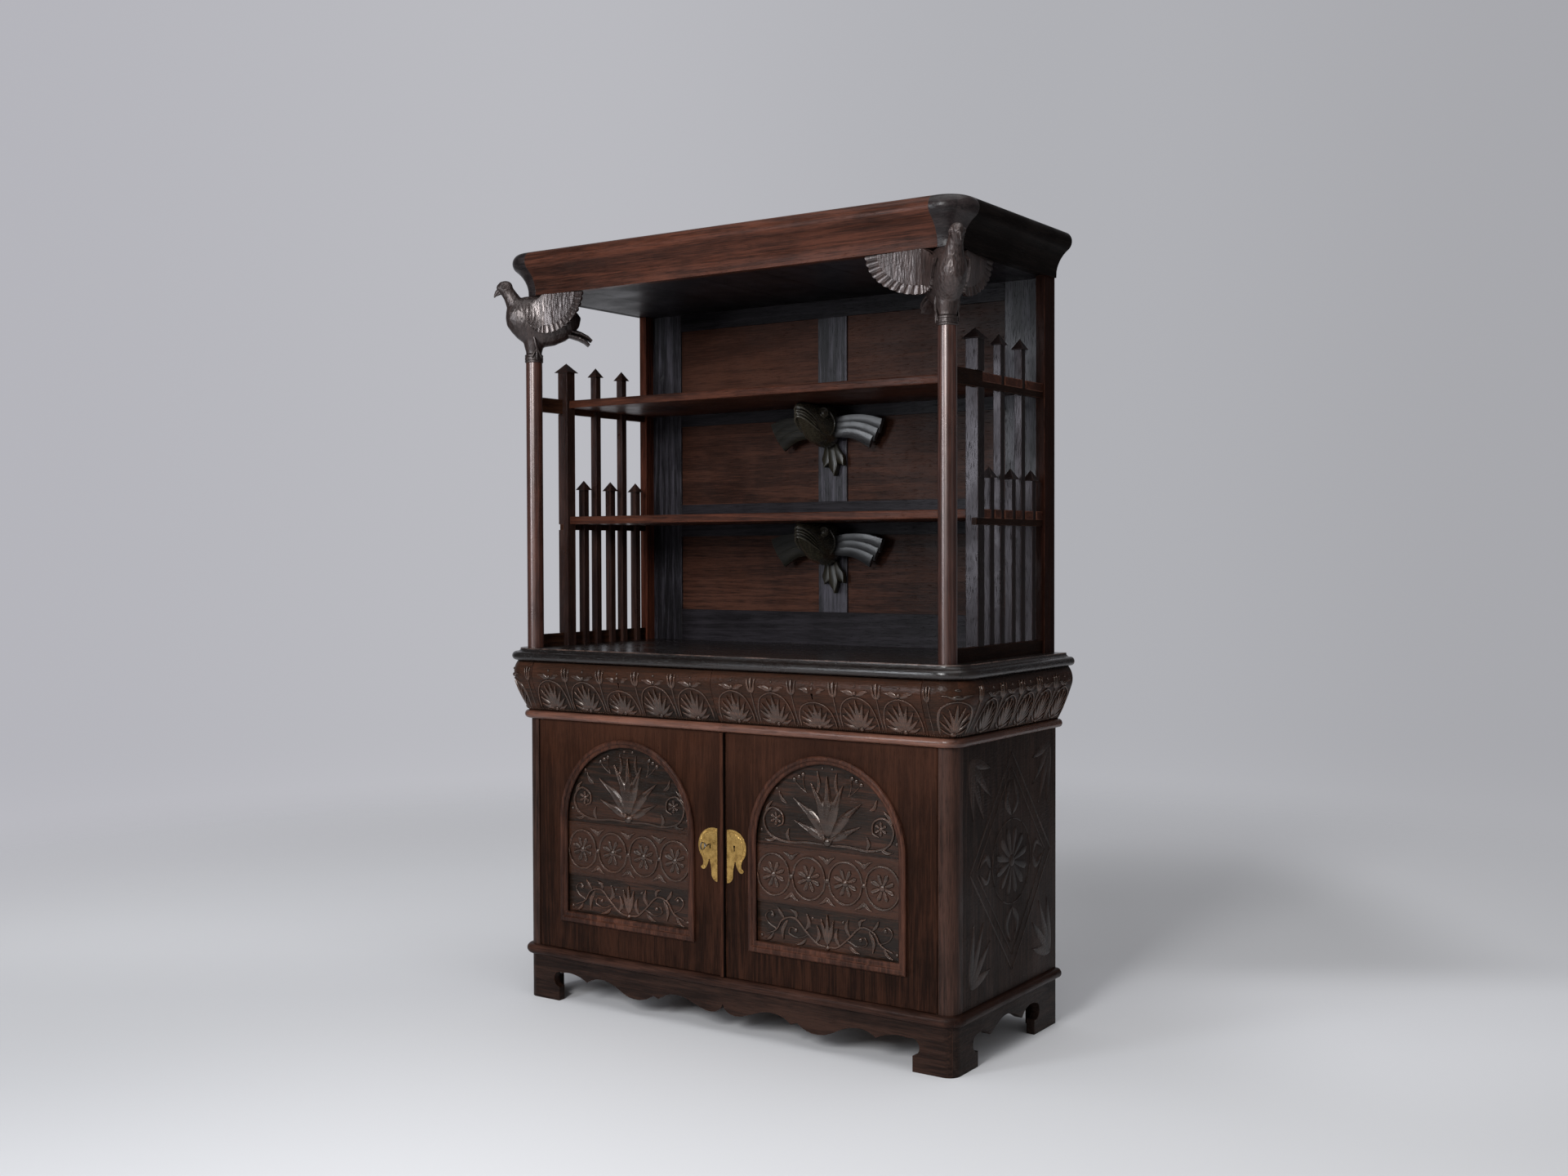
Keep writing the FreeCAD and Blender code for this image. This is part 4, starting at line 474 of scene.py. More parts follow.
FRIEZE_OAK = replace(
    CARVED_OAK, name="frieze_oak", shine=0.12, warm=((0.83, 0.0), (0.9, 0.4)), cut=(0.6, 0.6, 1.0), ripple=0.5 * MM)
# A darker copy of the frieze finish for the frieze's sides: painted shade on sides that face away from the lamps.
SHADED_FRIEZE_SIDE_OAK = replace(FRIEZE_OAK, name="shaded_frieze_side_oak", shine=0.1, light=(0.034, 0.0155, 0.0105))
BANDED_OAK = replace(CARVED_OAK, name="banded_oak", warm=PANEL_BANDS, warm_drift=0.0)
APRON_OAK = replace(
    POST_OAK, name="apron_oak", middle=(0.0135, 0.0064, 0.0044), light=(0.036, 0.017, 0.0115), shine=0.11)
# Painted light: the door finish turns lighter towards the top of the door, where more lamp light falls.
DOOR_OAK = replace(
    BROWN_OAK, name="door_oak", dark=(0.0066, 0.0027, 0.0016), middle=(0.0116, 0.0046, 0.0026),
    light=(0.034, 0.0128, 0.007), warm=((0.3, 0.0), (0.62, 0.12), (0.8, 0.34)), warm_tone=(0.078, 0.029, 0.0158),
    shine=0.06)
RAIL_OAK = replace(
    BROWN_OAK, name="rail_oak", middle=(0.026, 0.0105, 0.006), light=(0.06, 0.024, 0.013), right_shade=0.75,
    shine=0.05)
MOULDED_OAK = replace(
    RED_OAK, name="moulded_oak", middle=(0.019, 0.0086, 0.006), light=(0.05, 0.022, 0.0148), shine=0.09,
    right_shade=0.7, right_shade_from=EDGE_BACK)
ARCH_OAK = replace(RED_OAK, name="arch_oak", middle=(0.036, 0.014, 0.0086), light=(0.09, 0.034, 0.02), shine=0.16)
PANEL_OAK = OakFinish(
    "panel_oak", (0.0055, 0.003, 0.0026), (0.0235, 0.0096, 0.0064), (0.066, 0.026, 0.016), (0.12, 0.05, 0.032),
    gloss=(0.3, 0.46), shine=0.09, warm=((1.3, 0.0), (1.75, 0.3)), right_shade=0.45, right_shade_from=(0.0, 0.4))
SHELF_OAK = replace(RED_OAK, name="shelf_oak", worn_and_highlight=(0.235, 0.096, 0.06), wear=1.0, wear_width=4.5 * MM)
# The counter's pale rubbed edges are partly wear and partly a painted highlight along its front edge.
COUNTER_OAK = OakFinish(
    "counter_oak", (0.0035, 0.0028, 0.0025), (0.0075, 0.0054, 0.0047), (0.017, 0.011, 0.0092), (0.27, 0.165, 0.13),
    gloss=(0.2, 0.32), wear=1.0, wear_width=6 * MM, shine=0.68)
SIDE_OAK = OakFinish(
    "side_oak", (0.0074, 0.0052, 0.0044), (0.018, 0.0118, 0.0098), (0.037, 0.0225, 0.0178), (0.05, 0.028, 0.02),
    gloss=(0.34, 0.5), ripple=0.5 * MM, shine=0.05, hollow_shade=0.5)
# A darker copy of the side finish for the cornice's sides: painted shade, as these sides face away from the lamps.
SHADED_SIDE_OAK = replace(
    SIDE_OAK, name="shaded_side_oak", middle=(0.0058, 0.0044, 0.004), light=(0.012, 0.0088, 0.0076), shine=0.02, hollow_shade=0.0,
    ripple=0.0)
# The corner blocks' grey, bluish tones are partly dark oak and partly a painted reflection.
CORNER_SHEEN_OAK = OakFinish(
    "corner_sheen_oak", (0.006, 0.0046, 0.0048), (0.0135, 0.0102, 0.0104), (0.03, 0.022, 0.0215), (0.085, 0.055, 0.046),
    gloss=(0.24, 0.36), ripple=0.25 * MM, shine=0.26, hollow_shade=0.6)
INNER_OAK = OakFinish(
    "inner_oak", (0.03, 0.017, 0.01), (0.06, 0.034, 0.019), (0.11, 0.064, 0.036), (0.16, 0.1, 0.06),
    gloss=(0.45, 0.65))
WAXED_CARVING = OakFinish(
    "waxed_carving", (0.006, 0.0036, 0.003), (0.0165, 0.0098, 0.0084), (0.04, 0.025, 0.0215), (0.15, 0.105, 0.095),
    gloss=(0.34, 0.44), wear=0.5, wear_width=1.0 * MM, pore_depth=0.1 * MM, ripple=1.5 * MM, cut=(1.0, 1.0, 0.5),
    cut_scale=150.0, cut_shade=0.75, shine=0.8, hollow_shade=0.8, hollow_shade_reach=6 * MM, sheen=(1.0, 0.9, 0.88))
WING_WAX = replace(
    WAXED_CARVING, name="wing_wax", light=(0.052, 0.033, 0.0285), gloss=(0.26, 0.36), ripple=0.9 * MM,
    cut=(1.0, 1.0, 0.26), cut_scale=150.0, cut_shade=0.7, shine=1.0, hollow_shade=0.9, hollow_shade_reach=4 * MM)
FISH_WAX = OakFinish(
    "fish_wax", (0.019, 0.0165, 0.0108), (0.029, 0.0252, 0.0165), (0.05, 0.043, 0.0285), (0.17, 0.145, 0.105),
    gloss=(0.2, 0.28), wear=0.8, wear_width=1.6 * MM, pore_depth=0.02 * MM, shine=1.0, hollow_shade=0.4)
# A darker copy of the fish finish for the left fin: painted shade, as that fin lies in shade.
SHADED_FIN = replace(
    FISH_WAX, name="shaded_fin", dark=(0.008, 0.007, 0.0046), middle=(0.013, 0.0115, 0.008),
    light=(0.028, 0.024, 0.017), gloss=(0.34, 0.46), shine=0.3)
# A paler copy of the fish finish for the lips and eye rings, whose pale rubbed edges are painted highlights on their
# ridges.
LIT_FACE_WAX = replace(
    FISH_WAX, name="lit_face_wax", dark=(0.03, 0.026, 0.018), middle=(0.062, 0.055, 0.04), light=(0.105, 0.093, 0.068),
    worn_and_highlight=(0.26, 0.23, 0.175), hollow_shade=0.0)
TAIL_WAX = replace(
    FISH_WAX, name="tail_wax", dark=(0.009, 0.0078, 0.005), middle=(0.017, 0.0145, 0.009),
    light=(0.038, 0.032, 0.021), worn_and_highlight=(0.09, 0.078, 0.052), gloss=(0.3, 0.42), shine=0.42)
# The right fin's grey tones are partly the fin's own colour and partly a painted sheen on its ribs.
SHEEN_FIN_WAX = replace(
    FISH_WAX, name="sheen_fin_wax", dark=(0.02, 0.02, 0.021), middle=(0.028, 0.028, 0.029), light=(0.045, 0.045, 0.046),
    worn_and_highlight=(0.15, 0.15, 0.15), gloss=(0.26, 0.36), shine=0.62)
# The carving's pale rubbed edges are partly wear and partly painted glints on the raised edges.
CARVED_EDGE = OakFinish(
    "carved_edge", (0.0066, 0.0042, 0.003), (0.022, 0.0108, 0.0068), (0.06, 0.0245, 0.0142), (0.33, 0.16, 0.1),
    gloss=(0.2, 0.32), wear=1.0, wear_width=1.2 * MM, pore_depth=0.1 * MM, shine=0.8, hollow_shade=0.8,
    hollow_shade_reach=5 * MM, sheen=(1.0, 0.88, 0.8))
# The side carving's paler rubbed edges are partly wear and partly painted glints.
SIDE_EDGE = OakFinish(
    "side_edge", (0.007, 0.005, 0.0042), (0.019, 0.0126, 0.0104), (0.042, 0.026, 0.0205), (0.12, 0.074, 0.058),
    gloss=(0.26, 0.38), wear=0.7, ripple=0.5 * MM, wear_width=1.1 * MM, pore_depth=0.15 * MM, shine=0.16, hollow_shade=0.6,
    hollow_shade_reach=5 * MM)
OLD_BRASS = MetalFinish("old_brass", (0.68, 0.43, 0.14), (0.27, 0.16, 0.05), (0.26, 0.5))
DARK_STEEL = MetalFinish("dark_steel", (0.34, 0.33, 0.32), (0.07, 0.055, 0.045), (0.24, 0.5))

Ground = Callable[[float, float, float], Vector]


class Outline(Enum):
    """How the width of a carved strip changes from its root to its tip."""
    LEAF = "leaf"
    PETAL = "petal"
    STEM = "stem"
    RIB = "rib"
    FLUKE = "fluke"

    def share(self, along: float) -> float:
        """Return the share of the full width at a share of the length.

        Args:
            along: the share of the length.

        Returns:
            The share of the width.
        """
        if self is Outline.LEAF:
            return max(0.03, math.sin(math.pi * along ** 0.75) ** 0.85)
        if self is Outline.PETAL:
            return (0.3 + 0.7 * along ** 0.8) * math.sqrt(max(0.01, 1.0 - along ** 7))
        if self is Outline.STEM:
            return (1.0 - 0.35 * along) * math.sqrt(max(0.04, 1.0 - (2.0 * along - 1.0) ** 16))
        if self is Outline.RIB:
            return 0.6 + 0.4 * along
        return (0.58 + 0.6 * along) * min(1.0, 0.04 + (1.0 - along) * 4.2)


def curve_place(points: tuple[tuple[float, ...], ...], along: float) -> list[float]:
    """Return a place on the smooth line through points.

    Args:
        points: the points, of two or more numbers each.
        along: the share of the line's length, from zero to one.

    Returns:
        The place, with as many numbers as each point.
    """
    spans = len(points) - 1
    reach = min(max(along, 0.0), 1.0) * spans
    index = min(int(reach), spans - 1)
    share = reach - index
    first, second = points[index], points[index + 1]
    before = points[index - 1] if index else [2 * a - b for a, b in zip(first, second)]
    after = points[index + 2] if index + 2 <= spans else [2 * b - a for a, b in zip(first, second)]
    return [0.5 * (2 * b + (c - a) * share + (2 * a - 5 * b + 4 * c - d) * share ** 2
                   + (3 * b - a - 3 * c + d) * share ** 3)
            for a, b, c, d in zip(before, first, second, after)]


class Bench:
    """The modelling bench: primitives shaped in edit mode and finished with applied modifiers."""
    knob: tuple[Point, ...] = ((1.0, -1.0), (1.0, 0.0), (0.93, 0.36), (0.75, 0.66), (0.46, 0.88), (0.14, 0.99))
    knob_sides: int = 10
    smooth: float = 50.0

    def __init__(self) -> None:
        """Start with no strips and no dome made."""
        self.strips: dict[tuple[int, int], bpy.types.Mesh] = {}
        self.domes: list[bpy.types.Mesh] = []

    def clear(self) -> None:
        """Leave edit mode and deselect everything."""
        if bpy.context.object and bpy.context.object.mode != "OBJECT":
            bpy.ops.object.mode_set(mode="OBJECT")
        bpy.ops.object.select_all(action="DESELECT")

    def close(self) -> Piece:
        """Turn all faces of the piece on the bench outwards and leave edit mode."""
        bpy.ops.mesh.select_all(action="SELECT")
        bpy.ops.mesh.normals_make_consistent(inside=False)
        bpy.ops.object.mode_set(mode="OBJECT")
        return bpy.context.active_object

    def strip(self, rows: int, columns: int) -> bpy.types.Mesh:
        """Return a closed strip two wide and two long, one deep, made once for each fineness.

        Args:
            rows: how finely it is divided along its length.
            columns: how finely across.

        Returns:
            The strip.
        """
        if (rows, columns) not in self.strips:
            self.clear()
            bpy.ops.mesh.primitive_grid_add(x_subdivisions=columns, y_subdivisions=rows, size=2.0,
                                            enter_editmode=True)
            bpy.ops.mesh.select_all(action="SELECT")
            bpy.ops.mesh.region_to_loop()
            bpy.ops.mesh.extrude_edges_move(TRANSFORM_OT_translate={"value": (0.0, 0.0, -1.0)})
            bpy.ops.mesh.edge_face_add()
            piece = self.close()
            self.strips[rows, columns] = piece.data
            bpy.data.objects.remove(piece)
        return self.strips[rows, columns]

    def hold(self, piece: Piece) -> None:
        """Make a piece the only one selected, and the one worked on."""
        self.clear()
        piece.select_set(True)
        bpy.context.view_layer.objects.active = piece

    def placed(self, name: str, mesh: bpy.types.Mesh, move: Callable[[Vector], Vector]) -> Piece:
        """Copy a mesh and move every corner to its place.

        Args:
            name: the name of the copy.
            mesh: the mesh.
            move: gives the place of a corner.

        Returns:
            The copy.
        """
        mesh = mesh.copy()
        for vertex in mesh.vertices:
            vertex.co = move(vertex.co)
        piece = bpy.data.objects.new(name, mesh)
        bpy.context.scene.collection.objects.link(piece)
        return piece

    def loft(self, name: str, rings: list[list[Vector]]) -> Piece:
        """Raise a closed solid: a disc laid on the first ring is extruded to each of the others.

        Args:
            name: the name of the solid.
            rings: rings of the same number of points each, in order.

        Returns:
            The solid, with its ends closed.
        """
        self.clear()
        bpy.ops.mesh.primitive_circle_add(vertices=len(rings[0]), fill_type="NGON", enter_editmode=True)
        piece = bpy.context.active_object
        piece.name = name
        work = bmesh.from_edit_mesh(piece.data)
        corners = list(next(iter(work.faces)).verts)
        for corner, place in zip(corners, rings[0]):
            corner.co = place
        for last, ring in zip(rings, rings[1:]):
            bpy.ops.mesh.extrude_region_move()
            work = bmesh.from_edit_mesh(piece.data)
            held = [corner for corner in work.verts if corner.select]
            for corner in held:
                nearest = min(range(len(last)), key=lambda index: (last[index] - corner.co).length_squared)
                corner.co = ring[nearest].copy()
        bmesh.update_edit_mesh(piece.data)
        return self.close()

    def body(self, name: str, stations: list[tuple[float, float, float, float]], ground: Ground,
             sides: int = 20, ceiling: float = math.inf) -> Piece:
        """Loft a rounded body along a line in its middle plane.

        Args:
            name: the name of the body.
            stations: for each ring the two coordinates of its middle, and its half height and half width.
            ground: gives the place for a coordinate along, a coordinate up and a distance aside.
            sides: the number of points in a ring.
            ceiling: the highest level that the body reaches.

        Returns:
            The body.
        """
        rings = []
        for index, (along, up, tall, wide) in enumerate(stations):
            before = stations[max(index - 1, 0)]
            after = stations[min(index + 1, len(stations) - 1)]
            run = Vector((after[0] - before[0], after[1] - before[1])).normalized()
            ring = []
            for step in range(sides):
                turn = 2.0 * math.pi * step / sides
                rise = tall * math.cos(turn)
                level = up + rise * run.x
                ring.append(ground(along - rise * run.y, min(level, ceiling), wide * math.sin(turn)))
            rings.append(ring)
        return self.loft(name, rings)

    def tube(self, name: str, points: list[Place], radius: float, sides: int = 8, steps: int = 14,
             taper: float = 0.45) -> Piece:
        """Loft a thin rounded ridge along a smooth line, thinner at its ends.

        Args:
            name: the name of the ridge.
            points: the points of the line.
            radius: the ridge's half width.
            sides: the number of points in a ring.
            steps: the number of steps from ring to ring.
            taper: the share of the width that is left at the ends.

        Returns:
            The ridge.
        """
        rings = []
        for step in range(steps + 1):
            share = step / steps
            middle = Vector(curve_place(tuple(points), share))
            ahead = Vector(curve_place(tuple(points), min(share + 0.02, 1.0)))
            behind = Vector(curve_place(tuple(points), max(share - 0.02, 0.0)))
            run = (ahead - behind).normalized()
            side = run.orthogonal().normalized() if not rings else (side - run * side.dot(run)).normalized()
            lift = run.cross(side)
            size = radius * (taper + (1.0 - taper) * math.sin(math.pi * share) ** 0.5)
            rings.append([middle + (side * math.cos(turn) + lift * math.sin(turn)) * size
                          for turn in (2.0 * math.pi * corner / sides for corner in range(sides))])
        return self.loft(name, rings)

    def turned(self, name: str, profile: list[Point], centre: Vector, axis: Vector, sides: int = 16) -> Piece:
        """Loft a turned knob.

        Args:
            name: the name of the knob.
            profile: its radii and heights.
            centre: the place that it stands on.
            axis: the way that it points.
            sides: the number of points in a ring.

        Returns:
            The knob.
        """
        turn = axis.to_track_quat("Z", "Y").to_matrix()
        rings = [[centre + turn @ Vector((radius * math.cos(angle), radius * math.sin(angle), height))
                  for angle in (2.0 * math.pi * step / sides for step in range(sides))]
                 for radius, height in profile]
        return self.loft(name, rings)

    def dome(self) -> bpy.types.Mesh:
        """Return a closed dome of unit radius and height with its foot one deep, made once."""
        if not self.domes:
            piece = self.turned("dome", list(self.knob), Vector(), Vector((0.0, 0.0, 1.0)), self.knob_sides)
            self.domes.append(piece.data)
            bpy.data.objects.remove(piece)
        return self.domes[0]

    def joined(self, name: str, pieces: list[Piece]) -> Piece:
        """Join pieces into one object.

        Args:
            name: the name of the object.
            pieces: the pieces.

        Returns:
            The object.
        """
        self.clear()
        for piece in pieces:
            piece.select_set(True)
        bpy.context.view_layer.objects.active = pieces[0]
        bpy.ops.object.join()
        piece = bpy.context.active_object
        piece.name = name
        piece.data.name = name
        return piece

    def apply(self, piece: Piece, kind: str, **settings: object) -> None:
        """Put a modifier on a piece and apply it.

        Args:
            piece: the piece.
            kind: the kind of the modifier.
            settings: what its settings are.
        """
        self.hold(piece)
        tool = piece.modifiers.new(kind.lower(), kind)
        for name, value in settings.items():
            setattr(tool, name, value)
        bpy.ops.object.modifier_apply(modifier=tool.name)

    def mirrored(self, piece: Piece, name: str, turn: Callable[[Vector], Vector]) -> Piece:
        """Return a mirrored copy of a piece with its faces turned outwards again."""
        copy = self.placed(name, piece.data, turn)
        self.outwards(copy)
        return copy

    def outwards(self, piece: Piece) -> None:
        """Turn the faces of every closed shell of a piece outwards."""
        self.hold(piece)
        bpy.ops.object.mode_set(mode="EDIT")
        self.close()

    def finish(self, piece: Piece, body: str, slot: str, material: bpy.types.Material,
               replaced: tuple[str, ...] = ()) -> None:
        """Smooth a piece, dress it, and tie it to the body that carries it.

        Args:
            piece: the piece.
            body: the body that carries it.
            slot: the name of its place for a material; not used.
            material: its material.
            replaced: the pieces of joinery that it stands for.
        """
        self.outwards(piece)
        bpy.ops.object.shade_smooth_by_angle(angle=math.radians(self.smooth))
        piece.data.materials.clear()
        piece.data.materials.append(material)
        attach(piece, body)
        if replaced:
            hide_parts(*replaced)
        LOG.info("%s: %d faces", piece.name, len(piece.data.polygons))


@dataclass(frozen=True)
class Blade:
    """One carved leaf, petal, stem or rib that lies along a smooth line."""
    line: Line
    width: float
    outline: Outline = Outline.LEAF
    crown: float = 4.0 * MM
    crease: float = 0.0
    lean: float = 0.0
    sink: float = 1.5 * MM
    rows: int = 10
    columns: int = 4
    look: float = 0.03

    def carve(self, bench: Bench, ground: Ground) -> Piece:
        """Raise the blade on its ground.

        Args:
            bench: the bench that it is made on.
            ground: gives the place for two coordinates on the ground and a height above it.

        Returns:
            The blade.
        """
        def move(corner: Vector) -> Vector:
            """Place one corner of the strip.

            Args:
                corner: the corner.

            Returns:
                Its place.
            """
            along = 0.5 + 0.5 * corner.y
            middle = curve_place(self.line, along)
            ahead = curve_place(self.line, min(along + self.look, 1.0))
            behind = curve_place(self.line, max(along - self.look, 0.0))
            run = Vector((ahead[0] - behind[0], ahead[1] - behind[1])).normalized()
            aside = 0.5 * self.width * self.outline.share(along) * corner.x
            height = -self.sink
            if corner.z > -0.5:
                offset = (corner.x - self.lean) / (1.0 + abs(self.lean))
                height = self.crown * (1.0 - abs(offset) ** 2.6)
                height -= self.crease * math.exp(-(corner.x / 0.22) ** 2)
                height *= 0.45 + 0.55 * math.sin(math.pi * min(along * 1.25, 1.0) * 0.5)
            return ground(middle[0] + run.y * aside, middle[1] - run.x * aside, height)
        return bench.placed("blade", bench.strip(self.rows, self.columns), move)


def leaf(line: Line, width: float, crown: float = 4.2, crease: float = 1.6, rows: int = 10) -> Blade:
    """Return a creased leaf.

    Args:
        line: the points that it runs through, measured in the ground's own unit.
        width: its width, in the same unit.
        crown: its height in millimetres.
        crease: how deep the crease along its middle is, in millimetres.
        rows: how finely it is divided.

    Returns:
        The leaf.
    """
    return Blade(line, width, Outline.LEAF, crown * MM, crease * MM, rows=rows)


def stem(line: Line, width: float, crown: float, crease: float, rows: int) -> Blade:
    """Return a stem, with its measures given as for a leaf."""
    return Blade(line, width, Outline.STEM, crown * MM, crease * MM, rows=rows)


@dataclass(frozen=True)
class Feather:
    """One flute in the fan of a wing, on one of the wing's faces."""
    wing: "BirdCapital"
    span: float
    start: float
    end: float
    depth: float
    crown: float
    pitch: float
    bearing: float
    face: float

    def move(self, corner: Vector) -> Vector:
        """Place one corner of the strip that the feather is made from.

        Args:
            corner: the corner.

        Returns:
            Its place on the wing.
        """
        wing, end = self.wing, self.end
        along = 0.5 + 0.5 * corner.y
        turn = self.bearing + 0.53 * self.pitch * corner.x * (1.0 - 0.1 * self.crown * along ** 8)
        if not self.crown:
            start, run = (math.radians(angle) for angle in wing.drawn_out)
            late = min(max((turn - start) / run, 0.0), 1.0)
            end += 0.17 * late * late * (3.0 - 2.0 * late)
        reach = self.start + (end - self.start) * along * (1.0 - 0.1 * self.crown * corner.x ** 2 * along ** 3)
        over = wing.root_over + math.cos(turn) * (self.span if turn < math.pi / 2 else wing.back_reach) * reach
        level = wing.soffit + wing.root_rise - math.sin(turn) * wing.wing_drop * reach * MM
        place, out = wing.sweep(over)
        place = wing.at_flank(place, level, over)
        height = 0.0
        if corner.z > -0.5:
            height = self.depth * (1.12 - 0.42 * (along * (1.0 - self.crown)) ** 3)
            height *= (1.0 - self.crown * abs(corner.x) ** 2.2) * MM
        place = place - out * (self.face * height)
        return Vector((place.x, place.y, min(level, wing.soffit)))


@dataclass
class BirdCapital:
    """A carved bird under a corner of the cornice, with its head raised, its tail behind and its wings spread."""
    bench: Bench
    post: Point = (0.645, 0.012)
    front: float = CARCASS_FRONT
    soffit: float = 1.9345
    root_over: float = 46.0
    root_rise: float = 0.003
    fan: float = 160.0
    feathers: int = 19
    feather_rows: tuple[tuple[float, float, float, float], ...] = ((0.66, 1.0, 4.0, 0.62), (0.02, 0.8, 6.4, 0.0))
    shield: float = 124.0
    drawn_out: tuple[float, float] = (92.0, 26.0)
    back_reach: float = 98.0
    wing_drop: float = 109.0
    flank_ends: tuple[float, float] = (28.0, 36.0)
    flank_half: float = 0.0425
    flank_middle: float = 1.873
    flank_tall: float = 0.077
    right_reach: float = 174.0
    left_reach: float = 134.0
    wing_plan: tuple[Place, ...] = (
        (-60.0, -8.0, -45.5), (-52.0, -4.6, -44.0), (-35.0, 8.0, -39.0), (-15.0, 21.0, -31.5), (5.0, 31.0, -19.5),
        (25.0, 42.0, -9.5), (45.0, 56.0, -3.0), (70.0, 76.0, 1.5), (110.0, 113.0, 5.5), (150.0, 151.0, 7.5),
        (200.0, 200.0, 8.5))

    def place(self, along: float, up: float, aside: float) -> Vector:
        """Return a place from a distance towards the corner, a level and a distance aside, in millimetres."""
        share = math.sqrt(0.5) * MM
        return Vector((self.post[0] + (along + aside) * share, self.post[1] - self.front + (aside - along) * share,
                       up * MM))

    def build(self) -> None:
        """Make both birds and all four wings."""
        right = self.bird()
        left = self.bench.mirrored(right, "bird_left_carved", self.across_middle)
        wax = WAXED_CARVING.material("birds", Grain.UPRIGHT, 3.3)
        self.bench.finish(right, "cabinet", "waxed_carving", wax, ("bird_right",))
        self.bench.finish(left, "cabinet", "waxed_carving", wax, ("bird_left",))
        pairs = []
        for reach in (self.right_reach, self.left_reach):
            front = self.wing(reach)
            side = self.bench.mirrored(front, "wing", self.across_corner)
            pairs.append(self.bench.joined("wing_pair", [front, side]))
        other = self.bench.mirrored(pairs[1], "wing_pair", self.across_middle)
        bpy.data.objects.remove(pairs[1])
        wings = self.bench.joined("bird_wings_carved", [pairs[0], other])
        self.bench.finish(wings, "cabinet", "waxed_carving", WING_WAX.material("wings", Grain.UPRIGHT, 5.1),
                          ("bird_wings",))

    def across_middle(self, corner: Vector) -> Vector:
        """Return a place mirrored across the cupboard's middle plane."""
        return Vector((-corner.x, corner.y, corner.z))

    def across_corner(self, corner: Vector) -> Vector:
        """Return a place mirrored across the upright plane through the corner's diagonal."""
        over, back = corner.x - self.post[0], corner.y - (self.post[1] - self.front)
        return Vector((self.post[0] - back, self.post[1] - self.front - over, corner.z))

    def bird(self) -> Piece:
        """Make the right bird: body, neck, head and beak grown together, then its tail, eyes and cheek lines."""
        bench = self.bench
        trunk = bench.body("trunk", [
            (-122, 1888, 12, 10), (-113, 1881, 28, 22), (-98, 1877, 48, 32), (-80, 1875, 61, 37), (-50, 1873, 72, 41),
            (-22, 1871, 76, 42), (2, 1873, 76, 41), (26, 1880, 64, 39), (42, 1885, 53, 35), (57, 1891, 41, 29),
            (68, 1896, 25, 20), (74, 1897, 9, 9)], self.place, 22, self.soffit / MM)
        neck = bench.body("neck", [
            (14, 1862, 34, 33), (30, 1882, 33, 31), (44, 1901, 29, 27), (55, 1920, 23, 22), (64, 1936, 19.5, 18),
            (73, 1949, 19, 17.5), (83, 1959, 17, 16), (91, 1962, 11, 11), (95, 1963, 5, 5)], self.place, 18)
        crown = bench.body("crown", [
            (57, 1957, 6, 5), (60, 1957, 13, 12), (67, 1957, 18.5, 16.5), (77, 1957, 20, 18), (87, 1956, 17.5, 15.5),
            (95, 1953, 11.5, 10), (99, 1951, 6, 6)], self.place, 18)
        stem = bench.body("stem", [(0, 1774, 22, 22), (0.01, 1782, 22, 22), (0.02, 1800, 27, 26), (0.03, 1820, 30, 30)],
                          self.place, 18)
        bird = bench.joined("bird_right_carved", [trunk, neck, crown, stem])
        bench.apply(bird, "REMESH", mode="VOXEL", voxel_size=2.4 * MM)
        bench.apply(bird, "SMOOTH", factor=0.5, iterations=7)
        beak = bench.body("beak", [
            (87, 1951, 9, 8), (94, 1949, 7.6, 6.4), (100, 1943, 5.8, 4.6), (104.5, 1936, 3.6, 2.7),
            (107, 1930, 1.6, 1.2)], self.place, 12)
        jaw = bench.body("jaw", [(86, 1944, 6, 6.2), (92, 1942, 4.8, 4.8), (98, 1938, 3.2, 2.8), (102, 1934, 1.2, 1.2)],
                         self.place, 12)
        parts = [bird, beak, jaw]
        for layer, drop in ((0, 0.0), (1, -12.0)):
            parts.append(bench.body("tail", [
                (-62 + 6 * layer, 1852 + drop, 11, 17), (-84 + 5 * layer, 1847 + drop, 9, 18),
                (-106 + 4 * layer, 1841 + drop, 7.6, 20), (-128 + 4 * layer, 1834 + drop, 6.8, 22.5),
                (-146 + 5 * layer, 1825 + drop, 6.0, 23.5), (-158 + 7 * layer, 1815 + drop, 4.6, 22)],
                self.place, 14))
        for side in (-1.0, 1.0):
            eye = self.place(82, 1958, side * 15.2)
            out = (self.place(86, 1960, side * 40) - self.place(82, 1958, 0)).normalized()
            parts.append(bench.turned("eye", [(6.6 * MM, -3.0 * MM), (6.6 * MM, 1.6 * MM), (5.4 * MM, 2.7 * MM),
                                              (4.4 * MM, 1.5 * MM), (3.6 * MM, 1.6 * MM), (3.0 * MM, 2.9 * MM),
                                              (1.3 * MM, 3.7 * MM)], eye, out, 14))
            for ring in range(3):
                reach = 10.5 + 3.6 * ring
                arc = []
                for turn in (2.7, 3.2, 3.8, 4.4, 4.9):
                    along, up = 81 + reach * math.cos(turn), 1957 + reach * 1.05 * math.sin(turn)
                    arc.append(tuple(self.place(along, up, side * (18.8 - 0.02 * reach ** 2))))
                parts.append(bench.tube("cheek", arc, 1.8 * MM, 6, 10))
            leg = [tuple(self.place(*point, side * aside)) for *point, aside in (
                (2, 1826, 26.0), (-3, 1806, 27.5), (-8, 1787, 25.5))]
            parts.append(bench.tube("leg", leg, 4.6 * MM, 10, 12, 0.8))
            for reach, low in ((7, 1763), (-7, 1759), (-20, 1764)):
